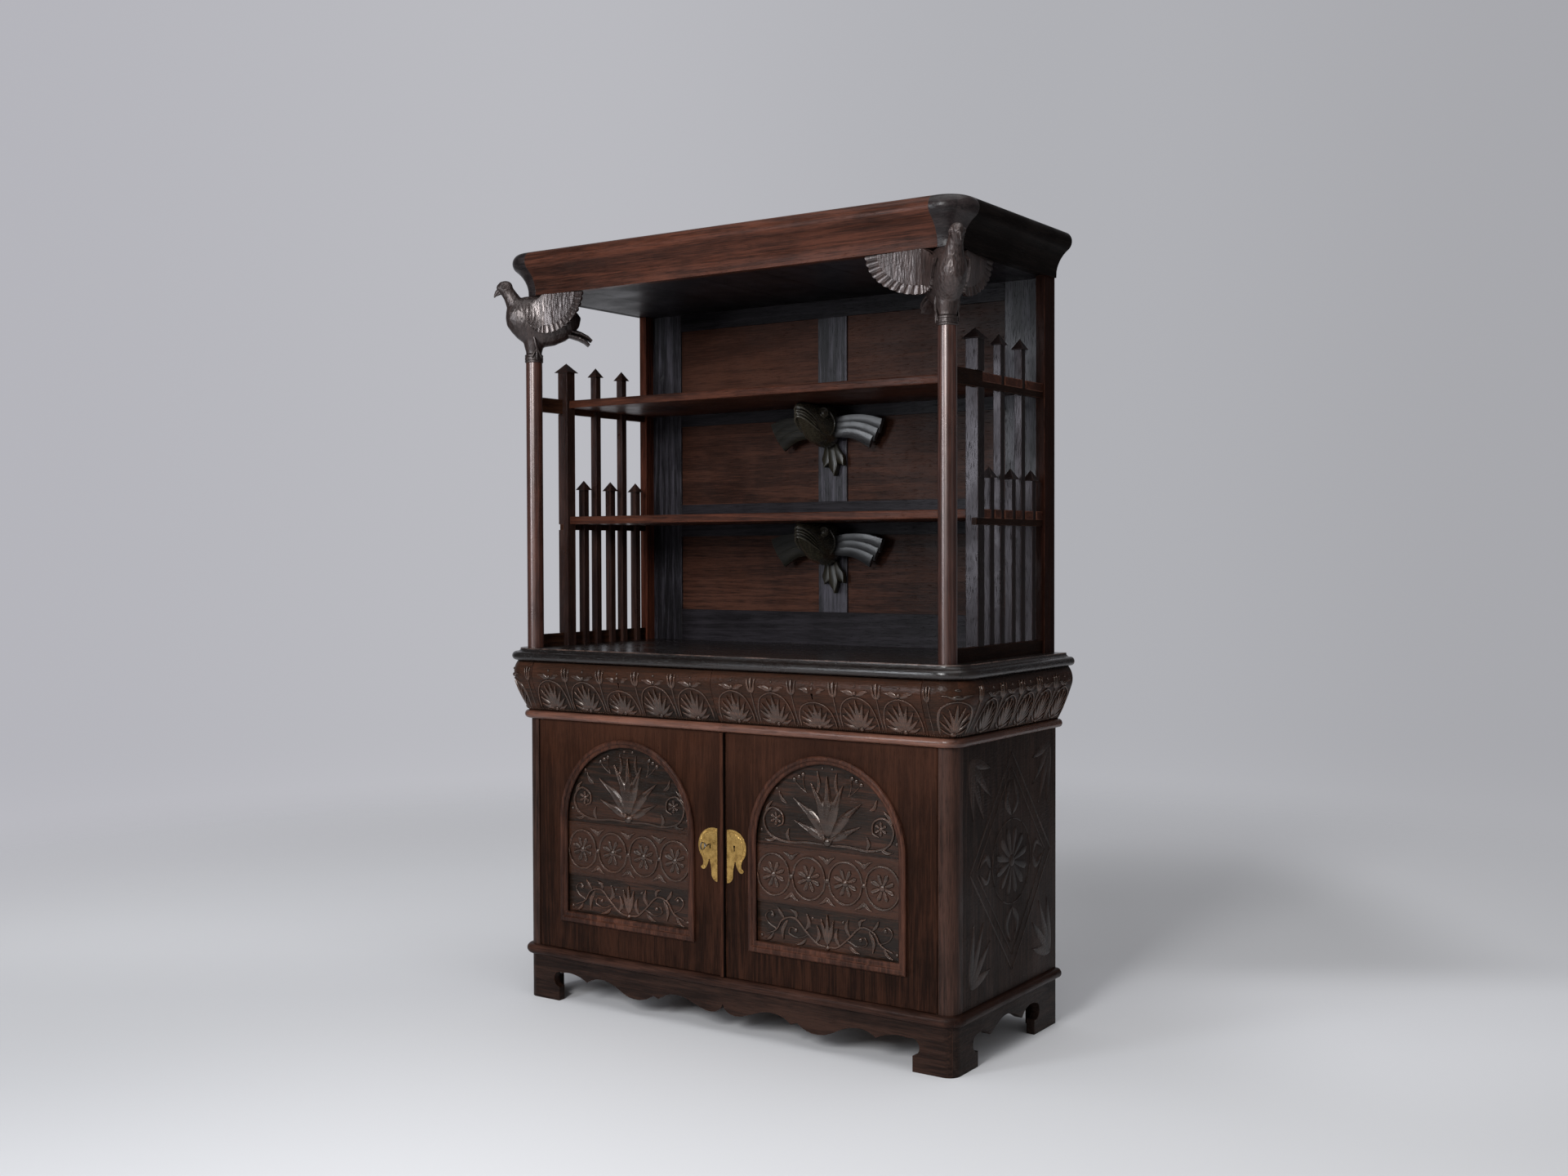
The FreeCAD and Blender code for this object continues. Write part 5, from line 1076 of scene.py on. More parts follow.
                toe = [tuple(self.place(along, up, side * math.sqrt(26.6 ** 2 - along ** 2))) for along, up in (
                    (-8, 1790), (0.5 * (reach - 8) + 1, 1779), (reach, low))]
                parts.append(bench.tube("toe", toe, 3.0 * MM, 8, 10, 0.6))
        return bench.joined("bird_right_carved", parts)

    def sweep(self, over: float) -> tuple[Vector, Vector]:
        """Return the place and the outward normal of a wing's middle surface in plan.

        Args:
            over: the distance in millimetres from the column inwards, as it looks from the front.

        Returns:
            The place and the normal, for a wing under the front of the cornice.
        """
        table = self.wing_plan
        index = max(1, min(len(table) - 1, sum(1 for entry in table if entry[0] < over)))
        low, high = table[index - 1], table[index]
        share = (over - low[0]) / (high[0] - low[0])
        inwards, deep = (a + (b - a) * share for a, b in zip(low[1:], high[1:]))
        run = Vector((-(high[1] - low[1]), high[2] - low[2], 0.0)).normalized()
        return (Vector((self.post[0] - inwards * MM, deep * MM - self.front, 0.0)),
                Vector((run.y, -run.x, 0.0)) * (-1.0 if -run.x > 0 else 1.0))

    def at_flank(self, place: Vector, level: float, over: float) -> Vector:
        """Draw a wing's place in to the bird's flank where it lies against the body.

        Args:
            place: the place on the wing, in plan.
            level: its level.
            over: its distance in millimetres from the column inwards.

        Returns:
            The place drawn in.
        """
        share = min(max((self.flank_ends[0] - over) / self.flank_ends[1], 0.0), 1.0)
        half = self.flank_half * math.sqrt(max(0.05, 1.0 - ((level - self.flank_middle) / self.flank_tall) ** 2))
        across = Vector((math.sqrt(0.5), math.sqrt(0.5), 0.0))
        aside = across.dot(place - Vector((self.post[0], self.post[1] - self.front, 0.0)))
        return place - across * share * (half + aside)

    def wing(self, span: float) -> Piece:
        """Make one wing from the flank to its tip: a rounded shield over a row of fluted tips, on both its faces.

        Args:
            span: the reach of the fan inwards from its root, in millimetres.

        Returns:
            The wing, in its place under the front of the cornice.
        """
        pitch = math.radians(self.fan) / self.feathers
        feathers = []
        for face in (-1.0, 1.0):
            for start, end, depth, crown in self.feather_rows:
                for index in range(self.feathers):
                    bearing = (index + 0.5) * pitch
                    if not crown or bearing <= math.radians(self.shield):
                        feather = Feather(self, span, start, end, depth, crown, pitch, bearing, face)
                        feathers.append(self.bench.placed("feather", self.bench.strip(9, 4), feather.move))
        return self.bench.joined("wing", feathers)


@dataclass
class FishBracket:
    """A carved fish that rises from the back to the middle of a shelf, mouth first."""
    bench: Bench
    front: float = CARCASS_FRONT
    ceiling: float = 1636.5
    tail_back: float = 0.5185
    fin_back: float = 0.486
    upper_drop: float = 0.0
    lower_drop: float = 327.0

    def build(self) -> None:
        """Make both fish."""
        for name, drop, seed in (("upper", self.upper_drop, 2.1), ("lower", self.lower_drop, 6.4)):
            fish, lines = self.fish(drop)
            fish.name = f"fish_{name}_carved"
            self.bench.finish(fish, "cabinet", "fish_carving", FISH_WAX.material(name, Grain.DEEP, seed),
                              (f"fish_bracket_{name}",))
            # left fin: painted shade; right fin: grey tones partly painted sheen
            blades = ((SHADED_FIN, Grain.ALONG, "left_fin", self.fin(drop, -1.0)),
                      (SHEEN_FIN_WAX, Grain.ALONG, "right_fin", self.fin(drop, 1.0)),
                      (TAIL_WAX, Grain.UPRIGHT, "tail", self.tail(drop)), (LIT_FACE_WAX, Grain.DEEP, "face", lines))
            for wax, grain, shown, pieces in blades:
                blade = self.bench.joined(f"fish_{name}_{shown}", pieces)
                self.bench.finish(blade, "cabinet", "fish_carving", wax.material(f"{name}_{shown}", grain, seed))

    def fish(self, drop: float) -> tuple[Piece, list[Piece]]:
        """Make one fish's body with its gills, and its lips and eyes.

        Args:
            drop: how far the fish is lowered from the upper one's place, in millimetres.

        Returns:
            The body, and the pieces of the face.
        """
        bench = self.bench

        def place(back: float, up: float, aside: float) -> Vector:
            """Return a place from a distance back, a level and a distance aside."""
            return Vector((aside * MM, back * MM - self.front, (up - drop) * MM))

        head = bench.body("head", [
            (529, 1580, 56, 34), (510, 1580, 62, 41), (488, 1580, 63, 43), (465, 1584, 61, 41), (445, 1591, 55, 38),
            (425, 1603, 38, 34), (405, 1612, 29, 29), (385, 1619, 23, 23), (367, 1624, 17, 16), (355, 1626, 11, 9.5),
            (350, 1626, 4, 4)], place, 22, self.ceiling)
        jaw = bench.body("jaw", [
            (472, 1546, 22, 30), (450, 1547, 21, 32), (430, 1556, 17.5, 29), (408, 1571, 14, 25), (388, 1585, 11, 20),
            (370, 1597, 8.5, 14), (357, 1604, 5.5, 8), (352, 1606, 2.5, 3)], place, 20)
        for piece in (head, jaw):
            bench.apply(piece, "SUBSURF", levels=1, render_levels=1)
        parts, lines = [head, jaw], []
        lip_backs, jaw_backs = (405, 386, 366, 356), (418, 392, 369, 357)
        for backs, wide, levels in ((lip_backs, (28, 24, 17, 8), (1590, 1604, 1617, 1623)),
                                    (lip_backs, (26, 22.5, 16, 7), (1582, 1596, 1608, 1613)),
                                    (lip_backs, (27, 23, 16.5, 7), (1574, 1588, 1600, 1606)),
                                    (jaw_backs, (30, 25, 18, 8), (1560, 1574, 1588, 1596))):
            half = [(side, back, up) for side, back, up in zip(wide, backs, levels)]
            whole = [place(back, up, -side) for side, back, up in half]
            whole.append(place(backs[-1] - 4, levels[-1] + 1.5, 0))
            whole += [place(back, up, side) for side, back, up in reversed(half)]
            lines.append(bench.tube("lip", [tuple(point) for point in whole], 3.1 * MM, 8, 26, 0.5))
        for side in (-1.0, 1.0):
            out = Vector((side * 0.86, -0.42, 0.2)).normalized()
            lines.append(bench.turned("eye", [(15.0 * MM, -8 * MM), (15.0 * MM, 1.4 * MM), (13.4 * MM, 3.4 * MM),
                                              (11.4 * MM, 1.4 * MM), (8.6 * MM, 1.6 * MM), (7.2 * MM, 4.8 * MM),
                                              (4.2 * MM, 6.8 * MM), (2.9 * MM, 5.2 * MM), (1.2 * MM, 5.6 * MM)],
                                      place(431, 1612, side * 33.5), out, 24))
            parts.append(bench.tube("gill", [tuple(place(back, up, side * wide)) for back, up, wide in (
                (462, 1618, 33), (474, 1596, 41), (474, 1572, 41.5), (462, 1550, 36))], 2.6 * MM, 8, 14, 0.4))
        return bench.joined("fish", parts), lines

    def tail(self, drop: float) -> list[Piece]:
        """Make the three blades of the tail.

        Args:
            drop: how far the fish is lowered from the upper one's place, in millimetres.

        Returns:
            The blades.
        """
        def ground(over: float, up: float, height: float) -> Vector:
            """Return a place on the tail's upright plane."""
            return Vector((over * MM, self.tail_back - self.front - height, (up - drop) * MM))
        blades = ((((-6, 1540), (-8, 1515), (-11, 1492), (-17, 1466)), 31.0, 9.0),
                  (((9, 1540), (15, 1516), (27, 1495), (47, 1470)), 33.0, 10.0),
                  (((2, 1542), (4, 1512), (9, 1482), (18, 1441)), 34.0, 12.0))
        return [Blade(line, width, Outline.FLUKE, crown * MM, 0.0, -0.35, 6 * MM, 16, 8).carve(self.bench, ground)
                for line, width, crown in blades]

    def fin(self, drop: float, side: float) -> list[Piece]:
        """Make the three lapped ribs of one side fin.

        Args:
            drop: how far the fish is lowered from the upper one's place, in millimetres.
            side: one for the right fin, minus one for the left.

        Returns:
            The ribs.
        """
        def ground(over: float, up: float, height: float) -> Vector:
            """Return a place on the fin's upright plane."""
            lift = self.fin_back + 0.11 * (over - 40.0) * MM - height
            return Vector((side * over * MM, lift - self.front, (up - drop) * MM))
        ribs = ((((26, 1587), (85, 1592), (135, 1587), (177, 1573)), 41.0),
                (((30, 1572), (85, 1574), (128, 1565), (163, 1549)), 39.0),
                (((34, 1558), (84, 1556), (118, 1546), (148, 1531)), 36.0))
        return [Blade(line, width, Outline.RIB, 9.0 * MM, 0.0, -0.75, 7.0 * MM, 14, 10).carve(self.bench, ground)
                for line, width in ribs]


@dataclass
class CarvedFrieze:
    """Low carving on the bulged frieze: arches with palmettes, and tulips between them."""
    bench: Bench
    front: float = -CARCASS_FRONT
    foot: float = 0.796
    head: float = 0.934
    turn_start: float = 0.6375
    turn_radius: float = 0.03
    drawer_start: float = 0.004
    drawer_end: float = 0.6065
    bay: float = 0.0862
    arches: int = 5
    corner_arch: float = 0.62
    corner_gap: float = 0.0155
    corner_tulip: float = 0.72
    corner_flutes: Point = (0.029, 0.028)
    flute_pitch: float = 0.0058
    steps: int = 40
    keyhole_side: float = 0.21

    def build(self) -> None:
        """Carve both drawers, both corners and both sides."""
        self.measure()
        pitch = (self.drawer_end - self.drawer_start) / self.arches
        for side, body, name in ((1.0, "right_drawer", "right"), (-1.0, "left_drawer", "left")):
            flat, pieces = self.ground(self.turn_start, side), []
            for index in range(self.arches):
                middle = self.drawer_start + (index + 0.5) * pitch
                pieces += self.arch(middle, pitch / self.bay, flat, index == self.arches // 2)
                if index:
                    pieces += self.tulip(middle - 0.5 * pitch, 1.0, flat)
            pieces += self.flutes(self.drawer_start, self.drawer_end, flat)
            keyed = self.bench.joined(f"frieze_carving_{name}", pieces)
            self.bench.finish(keyed, body, "oak_carved", CARVED_EDGE.material(f"frieze_{name}", Grain.ALONG, 4 + side))
        turn_end = self.turn_radius * math.pi / 2
        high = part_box("frieze_sides")[1]
        corner_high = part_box("frieze_corners")[1]
        edge = turn_end + corner_high.y - self.front - self.turn_radius
        length = high.y - corner_high.y
        span = length / self.arches
        pieces = []
        for side in (1.0, -1.0):
            around = self.ground(0.0, side)
            pieces += self.arch(0.5 * turn_end, self.corner_arch, around)
            for over in (-self.corner_gap, turn_end + self.corner_gap):
                pieces += self.tulip(over, self.corner_tulip, around)
            pieces += self.flutes(-self.corner_flutes[0], turn_end + self.corner_flutes[1], around)
            pieces += self.flutes(edge, edge + length, around)
            for index in range(self.arches):
                middle = edge + (index + 0.5) * span
                pieces += self.arch(middle, span / self.bay, around)
                if index:
                    pieces += self.tulip(middle - 0.5 * span, span / self.bay, around)
        fixed = self.bench.joined("frieze_carving_corners_and_sides", pieces)
        self.bench.finish(fixed, "cabinet", "oak_carved", CARVED_EDGE.material("frieze_sides", Grain.DEEP, 8.2))

    def measure(self) -> None:
        """Find how far the frieze stands out at each level."""
        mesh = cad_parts["drawer_front_right"].data
        tree = BVHTree.FromPolygons([vertex.co for vertex in mesh.vertices],
                                    [tuple(face.vertices) for face in mesh.polygons])
        self.levels: list[Point] = []
        for step in range(self.steps + 1):
            level = self.foot + 0.0015 + (self.head - self.foot - 0.003) * step / self.steps
            hit = tree.ray_cast(Vector((self.keyhole_side, -1.0, level)), Vector((0.0, 1.0, 0.0)))[0]
            self.levels.append((level, self.front - hit.y))

    def ground(self, start: float, side: float) -> Ground:
        """Return what gives a place on the frieze for a distance from a start, a level and a height."""
        return lambda over, up, height: self.raised(over - start, self.foot + up, height, side)

    def stand_out(self, level: float) -> tuple[float, float]:
        """Return how far the frieze stands out at a level, and its slope there.

        Args:
            level: the level.

        Returns:
            How far it stands out, and how fast that grows with the level.
        """
        first, last = self.levels[0][0], self.levels[-1][0]
        reach = min(max((level - first) / (last - first), 0.0), 0.9999) * (len(self.levels) - 1)
        index = int(reach)
        (low, out), (high, next_out) = self.levels[index], self.levels[index + 1]
        return out + (next_out - out) * (reach - index), (next_out - out) / (high - low)

    def raised(self, over: float, level: float, height: float, side: float) -> Vector:
        """Return a place above the frieze.

        Args:
            over: the distance from the start of the rounded corner, measured along the foot of the frieze.
            level: the level on the frieze.
            height: the height above its surface.
            side: one for the right, minus one for the left.

        Returns:
            The place.
        """
        out, slope = self.stand_out(level)
        lean = math.hypot(1.0, slope)
        turn = min(max(over / self.turn_radius, 0.0), math.pi / 2)
        normal = Vector((math.sin(turn), -math.cos(turn), 0.0))
        base = Vector((self.turn_start, self.front + self.turn_radius, 0.0)) + normal * self.turn_radius
        base += Vector((min(over, 0.0), max(over - self.turn_radius * math.pi / 2, 0.0), 0.0))
        place = base + normal * (out + height / lean)
        return Vector((side * place.x, place.y, level - height * slope / lean))

    def flutes(self, start: float, end: float, ground: Ground) -> list[Piece]:
        """Carve a row of small upright ridges along the foot of the frieze.

        Args:
            start: where the row starts along the frieze.
            end: where it ends.
            ground: gives the place for a distance along, a level and a height.

        Returns:
            The ridges.
        """
        count = round((end - start) / self.flute_pitch)
        places = [start + (index + 0.5) * (end - start) / count for index in range(count)]
        return [Blade(((over, 0.0016), (over, 0.008)), 3.4 * MM, Outline.STEM, 1.6 * MM, rows=3, columns=2).carve(
            self.bench, ground) for over in places]

    def arch(self, middle: float, share: float, ground: Ground, keyed: bool = False) -> list[Piece]:
        """Carve an arch with a palmette inside it and a bud above it.

        Args:
            middle: the place of the bay's middle along the frieze.
            share: the width of the bay as a share of the widest.
            ground: gives the place for a distance along, a level and a height.
            keyed: whether a keyhole lies above the arch, which then stays low.

        Returns:
            The carved pieces.
        """
        squeeze = 0.8 if keyed else 1.0
        bow = ((-37, 10), (-36, 40), (-26, 74), (0, 89), (26, 74), (36, 40), (37, 10))
        blades = [stem(self.line(middle, share, bow, squeeze), 4.6 * MM, 3.6, 0.8, 26),
                  leaf(self.line(middle, share, ((0, 14), (0, 44), (0, 82)), squeeze), 13 * share * MM, 5.0, 2.0)]
        for side in (-1, 1):
            for points, width, crown, crease in (
                    (((2, 14), (6, 42), (14, 74)), 9.5, 4.6, 1.8), (((3, 13), (13, 36), (25, 61)), 9, 4.4, 1.6),
                    (((4, 12), (18, 27), (31, 43)), 8.5, 4.0, 1.4), (((6, 9), (19, 14), (32, 24)), 7.5, 3.4, 1.2),
                    (((9 if keyed else 2, 92), (16, 101), (27, 103)), 9, 3.2, 1.2)):
                points = tuple((side * over, up) for over, up in points)
                blades.append(leaf(self.line(middle, share, points, squeeze), width * share * MM, crown, crease))
        pieces = [blade.carve(self.bench, ground) for blade in blades]
        for over, up, radius, tall in ((0, 9, 6.0, 4.4), (0, 104 if keyed else 98, 4.6 if keyed else 5.4, 4.2),
                                       (0, 115, 3.4, 3.0)):
            pieces.append(self.bud(middle + over * share * MM, up * MM, radius * MM, tall * MM, ground))
        return pieces

    def tulip(self, middle: float, share: float, ground: Ground) -> list[Piece]:
        """Carve a tulip on a stem between two arches.

        Args:
            middle: its place along the frieze.
            share: its width as a share of the widest.
            ground: gives the place for a distance along, a level and a height.

        Returns:
            The carved pieces.
        """
        blades = [stem(self.line(middle, share, ((0, 8), (0, 50), (0, 92))), 4.6 * share * MM, 2.8, 0.0, 12),
                  Blade(self.line(middle, share, ((0, 88), (0, 102), (0, 122))), 12 * share * MM, Outline.PETAL,
                        4.8 * MM, 1.4 * MM)]
        for side in (-1, 1):
            line = self.line(middle, share, ((side, 86), (8 * side, 97), (12 * side, 121)))
            blades.append(leaf(line, 9 * share * MM, 3.8, 1.4))
        return [blade.carve(self.bench, ground) for blade in blades]

    def line(self, middle: float, share: float, points: Line, squeeze: float = 1.0) -> Line:
        """Return points in metres, drawn in with the width of the bay.

        Args:
            middle: the place of the bay's middle along the frieze.
            share: the width of the bay as a share of the widest.
            points: the points in millimetres from the bay's middle and the foot of the frieze.
            squeeze: what the heights inside the arch are multiplied by.

        Returns:
            The points.
        """
        return tuple((middle + over * share * MM, up * (squeeze if up < 90 else 1.0) * MM) for over, up in points)

    def bud(self, over: float, up: float, radius: float, tall: float, ground: Ground) -> Piece:
        """Carve a round bud."""
        return self.bench.placed("bud", self.bench.dome(), lambda corner: ground(
            over + corner.x * radius, up + corner.y * radius, corner.z * (tall if corner.z > 0 else 1.5 * MM)))


@dataclass
class CarvedDoor:
    """Low carving on the three boards inside one arched door: a palmette, a chain of rings and a running stem."""
    bench: Bench
    name: str
    middle: float
    board: float = 0.009 - CARCASS_FRONT
    raised_board: float = 0.006 - CARCASS_FRONT
    spring: float = 0.504
    ring_level: float = 0.4255
    stem_level: float = 0.3

    def build(self) -> None:
        """Carve the three boards as one piece that swings with the door."""
        pieces = self.palmette() + self.rings() + self.running_stem()
        carving = self.bench.joined(f"door_carving_{self.name}", pieces)
        self.bench.finish(carving, f"{self.name}_door", "oak_carved",
                          CARVED_EDGE.material(f"door_{self.name}", Grain.ALONG, 11.0 + self.middle))

    def carve(self, blades: list[Blade], level: float, plane: float, mirrored: bool = True) -> list[Piece]:
        """Carve blades on a board, and their mirror images in the other half.

        Args:
            blades: the blades, with lines and widths in millimetres from the middle of the board.
            level: the level of the board's middle, in metres.
            plane: how deep the board's face lies.
            mirrored: whether the other half gets the same blades.

        Returns:
            The carved pieces.
        """
        pieces = []
        for side in ((1.0, -1.0) if mirrored else (1.0,)):
            def ground(over: float, up: float, height: float, side: float = side) -> Vector:
                """Return a place on the board."""
                return Vector((self.middle + side * over * MM, plane - height, level + up * MM))
            for blade in blades:
                pieces.append(blade.carve(self.bench, ground))
        return pieces

    def buds(self, places: list[tuple[float, float, float]], level: float, plane: float) -> list[Piece]:
        """Carve round buds in both halves of a board.

        Args:
            places: the place of each bud and its radius, in millimetres from the middle of the board.
            level: the level of the board's middle, in metres.
            plane: how deep the board's face lies.

        Returns:
            The buds.
        """
        pieces = []
        for over, up, radius in places:
            for side in ((1.0, -1.0) if over else (1.0,)):
                pieces.append(self.bench.placed("bud", self.bench.dome(), lambda corner, over=over, up=up, side=side,
                              radius=radius: Vector((
                                  self.middle + side * (over + corner.x * radius) * MM,
                                  plane - (corner.z * radius * 0.72 if corner.z > 0 else corner.z * 1.5) * MM,
                                  level + (up + corner.y * radius) * MM))))
        return pieces

    def rosette(self, over: float, up: float, radius: float, petals: int) -> list[Blade]:
        """Return the petals of a rosette.

        Args:
            over: how far its middle lies from the middle of the board, in millimetres.
            up: how far it lies above the middle of the board.
            radius: its radius in millimetres.
            petals: the number of petals.

        Returns:
            The petals.
        """
        turns = [2.0 * math.pi * (index + 0.5) / petals for index in range(petals)]
        wide = 2.0 * math.pi * radius * 0.66 / petals
        return [Blade(tuple((over + reach * radius * math.cos(turn), up + reach * radius * math.sin(turn))
                            for reach in (0.2, 0.6, 1.0)), wide, Outline.PETAL, 3.6 * MM, 1.5 * MM, rows=7)
                for turn in turns]

    def palmette(self) -> list[Piece]:
        """Carve the half-round board: a fan of leaves with scrolls, rosettes and berries beside it."""
        scroll = ((8, 8), (60, 10), (120, 6), (172, 22), (188, 60), (164, 88), (134, 78), (130, 52), (148, 42))
        blades = [leaf(((4, 30), (15, 92), (46, 158)), 30, 6.0, 2.6, 14),
                  leaf(((8, 26), (44, 74), (98, 118)), 26, 5.6, 2.4, 14),
                  leaf(((9, 20), (48, 40), (96, 62)), 20, 4.8, 2.0, 12), stem(scroll, 8.5, 5.2, 1.6, 34),
                  stem(((60, 132), (68, 150), (70, 174)), 4, 3.2, 0.0, 8),
                  stem(((60, 132), (80, 146), (94, 160)), 4, 3.2, 0.0, 8),
                  leaf(((30, 132), (24, 160), (28, 188)), 12), leaf(((150, 14), (168, 6), (186, 8)), 12)]
        blades += [leaf(line, 13) for line in (
            ((112, 8), (118, 24), (112, 40)), ((183, 72), (176, 90), (160, 106)), ((120, 102), (134, 112), (142, 132)))]
        blades += self.rosette(152, 62, 17, 6) + [leaf(((3, 8), (10, 22), (26, 32)), 13, 5.4, 1.6)]
        pieces = self.carve(blades, self.spring, self.board)
        pieces += self.carve([leaf(((0, 30), (0, 100), (0, 178)), 30, 6.4, 2.8, 16)], self.spring, self.board, False)
        return pieces + self.buds([(0, 16, 12), (152, 62, 6), (71, 178, 6.5), (97, 164, 6.5), (83, 172, 6.5),
                                   (14, 196, 4.5), (196, 30, 5), (150, 138, 5)], self.spring, self.board)

    def rings(self) -> list[Piece]:
        """Carve the middle board: four linked rings with rosettes, and leaves between them."""
        blades = []
        for centre in (53.0, 158.0):
            for half in (0.0, math.pi):
                line = tuple((centre + 48 * math.cos(half + turn), 52 * math.sin(half + turn))
                             for turn in (0.0, 0.52, 1.05, 1.57, 2.09, 2.62, 3.14))
                blades.append(stem(line, 8, 4.4, 1.4, 18))
            blades += self.rosette(centre, 0, 34, 8)
        for middle, lean in ((105.5, -1), (105.5, 1), (0.0, 1)):
            for side in (-1, 1):
                line = ((middle, 40 * side), (middle + 9 * lean, 52 * side), (middle + 24 * lean, 60 * side))
                blades.append(leaf(line, 11, 3.8, 1.4, 8))
        pieces = self.carve(blades, self.ring_level, self.raised_board)
        return pieces + self.buds([(53, 0, 10), (158, 0, 10), (105.5, 0, 7), (0, 0, 7), (105.5, 50, 4.5),
                                   (105.5, -50, 4.5), (0, 50, 4.5), (0, -50, 4.5)], self.ring_level, self.raised_board)

    def running_stem(self) -> list[Piece]:
        """Carve the lowest board: a stem that runs out from the middle in two waves, with leaves and buds."""
        wave = ((2, -38), (30, -34), (62, -8), (96, 22), (132, 14), (152, -14), (186, -28))
        blades = [stem(wave, 7.5, 4.6, 1.2, 30), leaf(((118, 16), (132, -10), (130, -36)), 14, 4.4, 1.8),
                  stem(((56, -14), (84, -26), (112, -18), (108, -2), (94, -4)), 6, 4.0, 0.0, 18),
                  stem(((150, -12), (174, 0), (184, 20), (168, 32), (156, 22)), 6, 4.0, 0.0, 18),
                  leaf(((34, -32), (24, -10), (30, 12)), 15, 4.6, 1.8),
                  leaf(((64, -4), (54, 16), (60, 38)), 15, 4.6, 1.8),
                  leaf(((3, -30), (10, 0), (18, 30)), 15, 4.8, 2.0)]
        blades += [leaf(line, 12) for line in (
            ((92, 22), (94, 36), (110, 44)), ((128, 18), (140, 32), (146, 44)), ((160, -22), (170, -36), (186, -44)),
            ((62, -26), (76, -38), (94, -42)))]
        pieces = self.carve(blades, self.stem_level, self.board)
        pieces += self.carve([leaf(((0, -34), (0, 2), (0, 42)), 16, 5.2, 2.0, 12)], self.stem_level, self.board, False)
        return pieces + self.buds([(0, -40, 7), (94, -8, 6), (164, 22, 6), (44, 28, 4.5), (196, -32, 5)],
                                  self.stem_level, self.board)


@dataclass
class CarvedSide:
    """Very low carving on both side panels: a lozenge with a rosette, and fans in the corners."""
    bench: Bench
    foot: float = 0.16
    head: float = 0.77
    margin: float = 0.034
    petals: int = 12

    def build(self) -> None:
        """Carve both sides as one piece."""
        low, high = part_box("side_panels")
        middle, level = 0.5 * (low.y + high.y), 0.5 * (self.foot + self.head)
        wide = 0.5 * (high.y - low.y) - self.margin
        tall = 0.5 * (self.head - self.foot) - self.margin
        blades = []
        for index in range(self.petals):
            turn = 2.0 * math.pi * (index + 0.5) / self.petals
            petal = tuple((reach * math.cos(turn), reach * math.sin(turn)) for reach in (0.016, 0.05, 0.085))
            arc = tuple((0.105 * math.cos(turn + part), 0.105 * math.sin(turn + part)) for part in (-0.25, 0.0, 0.25))
            blades += [Blade(petal, 26 * MM, Outline.PETAL, 2.2 * MM, 1.0 * MM, rows=8),
                       stem(arc, 4.5 * MM, 2.2, 0.0, 6)]
        for along, up in ((-1.0, -1.0), (-1.0, 1.0), (1.0, -1.0), (1.0, 1.0)):
            over, rise = along * wide, up * tall
            for inner, width in ((1.0, 7.0), (0.86, 4.5)):
                line = ((over * inner, 0.0), (over * inner * 0.5, rise * inner * 0.5), (0.0, rise * inner))
                blades.append(stem(line, width * MM, 1.8, 0.0, 16))
            for share, reach in ((0.12, 0.15), (0.37, 0.175), (0.63, 0.175), (0.88, 0.15)):
                turn = share * math.pi / 2
                end = (over - along * reach * math.cos(turn) * 0.72, rise - up * reach * math.sin(turn))
                half = (0.5 * (over + end[0]), 0.5 * (rise + end[1]))
                blades.append(leaf(((over, rise), half, end), 24 * MM, 2.1, 1.0, 12))
            blades.append(leaf(((0.0, rise * 0.42), (along * 0.03, rise * 0.56), (along * 0.01, rise * 0.74)), 20 * MM,
                               2.8, 1.2))
            blades.append(leaf(((over * 0.52, 0.0), (over * 0.62, up * 0.03), (over * 0.78, up * 0.008)), 18 * MM,
                               2.8, 1.2))
        pieces = []
        for side in (-1.0, 1.0):
            def ground(along: float, up: float, height: float, side: float = side) -> Vector:
                """Return a place on a side panel."""
                return Vector((side * (high.x + height), middle + along, level + up))
            pieces += [blade.carve(self.bench, ground) for blade in blades]
            pieces.append(self.bench.placed("bud", self.bench.dome(), lambda corner, side=side: Vector((
                side * (high.x + (corner.z * 3.6 if corner.z > 0 else corner.z) * MM), middle + corner.x * 15 * MM,
                level + corner.y * 15 * MM))))
        carving = self.bench.joined("side_carving", pieces)
        self.bench.finish(carving, "cabinet", "oak_carved", SIDE_EDGE.material("sides", Grain.UPRIGHT, 9.4))


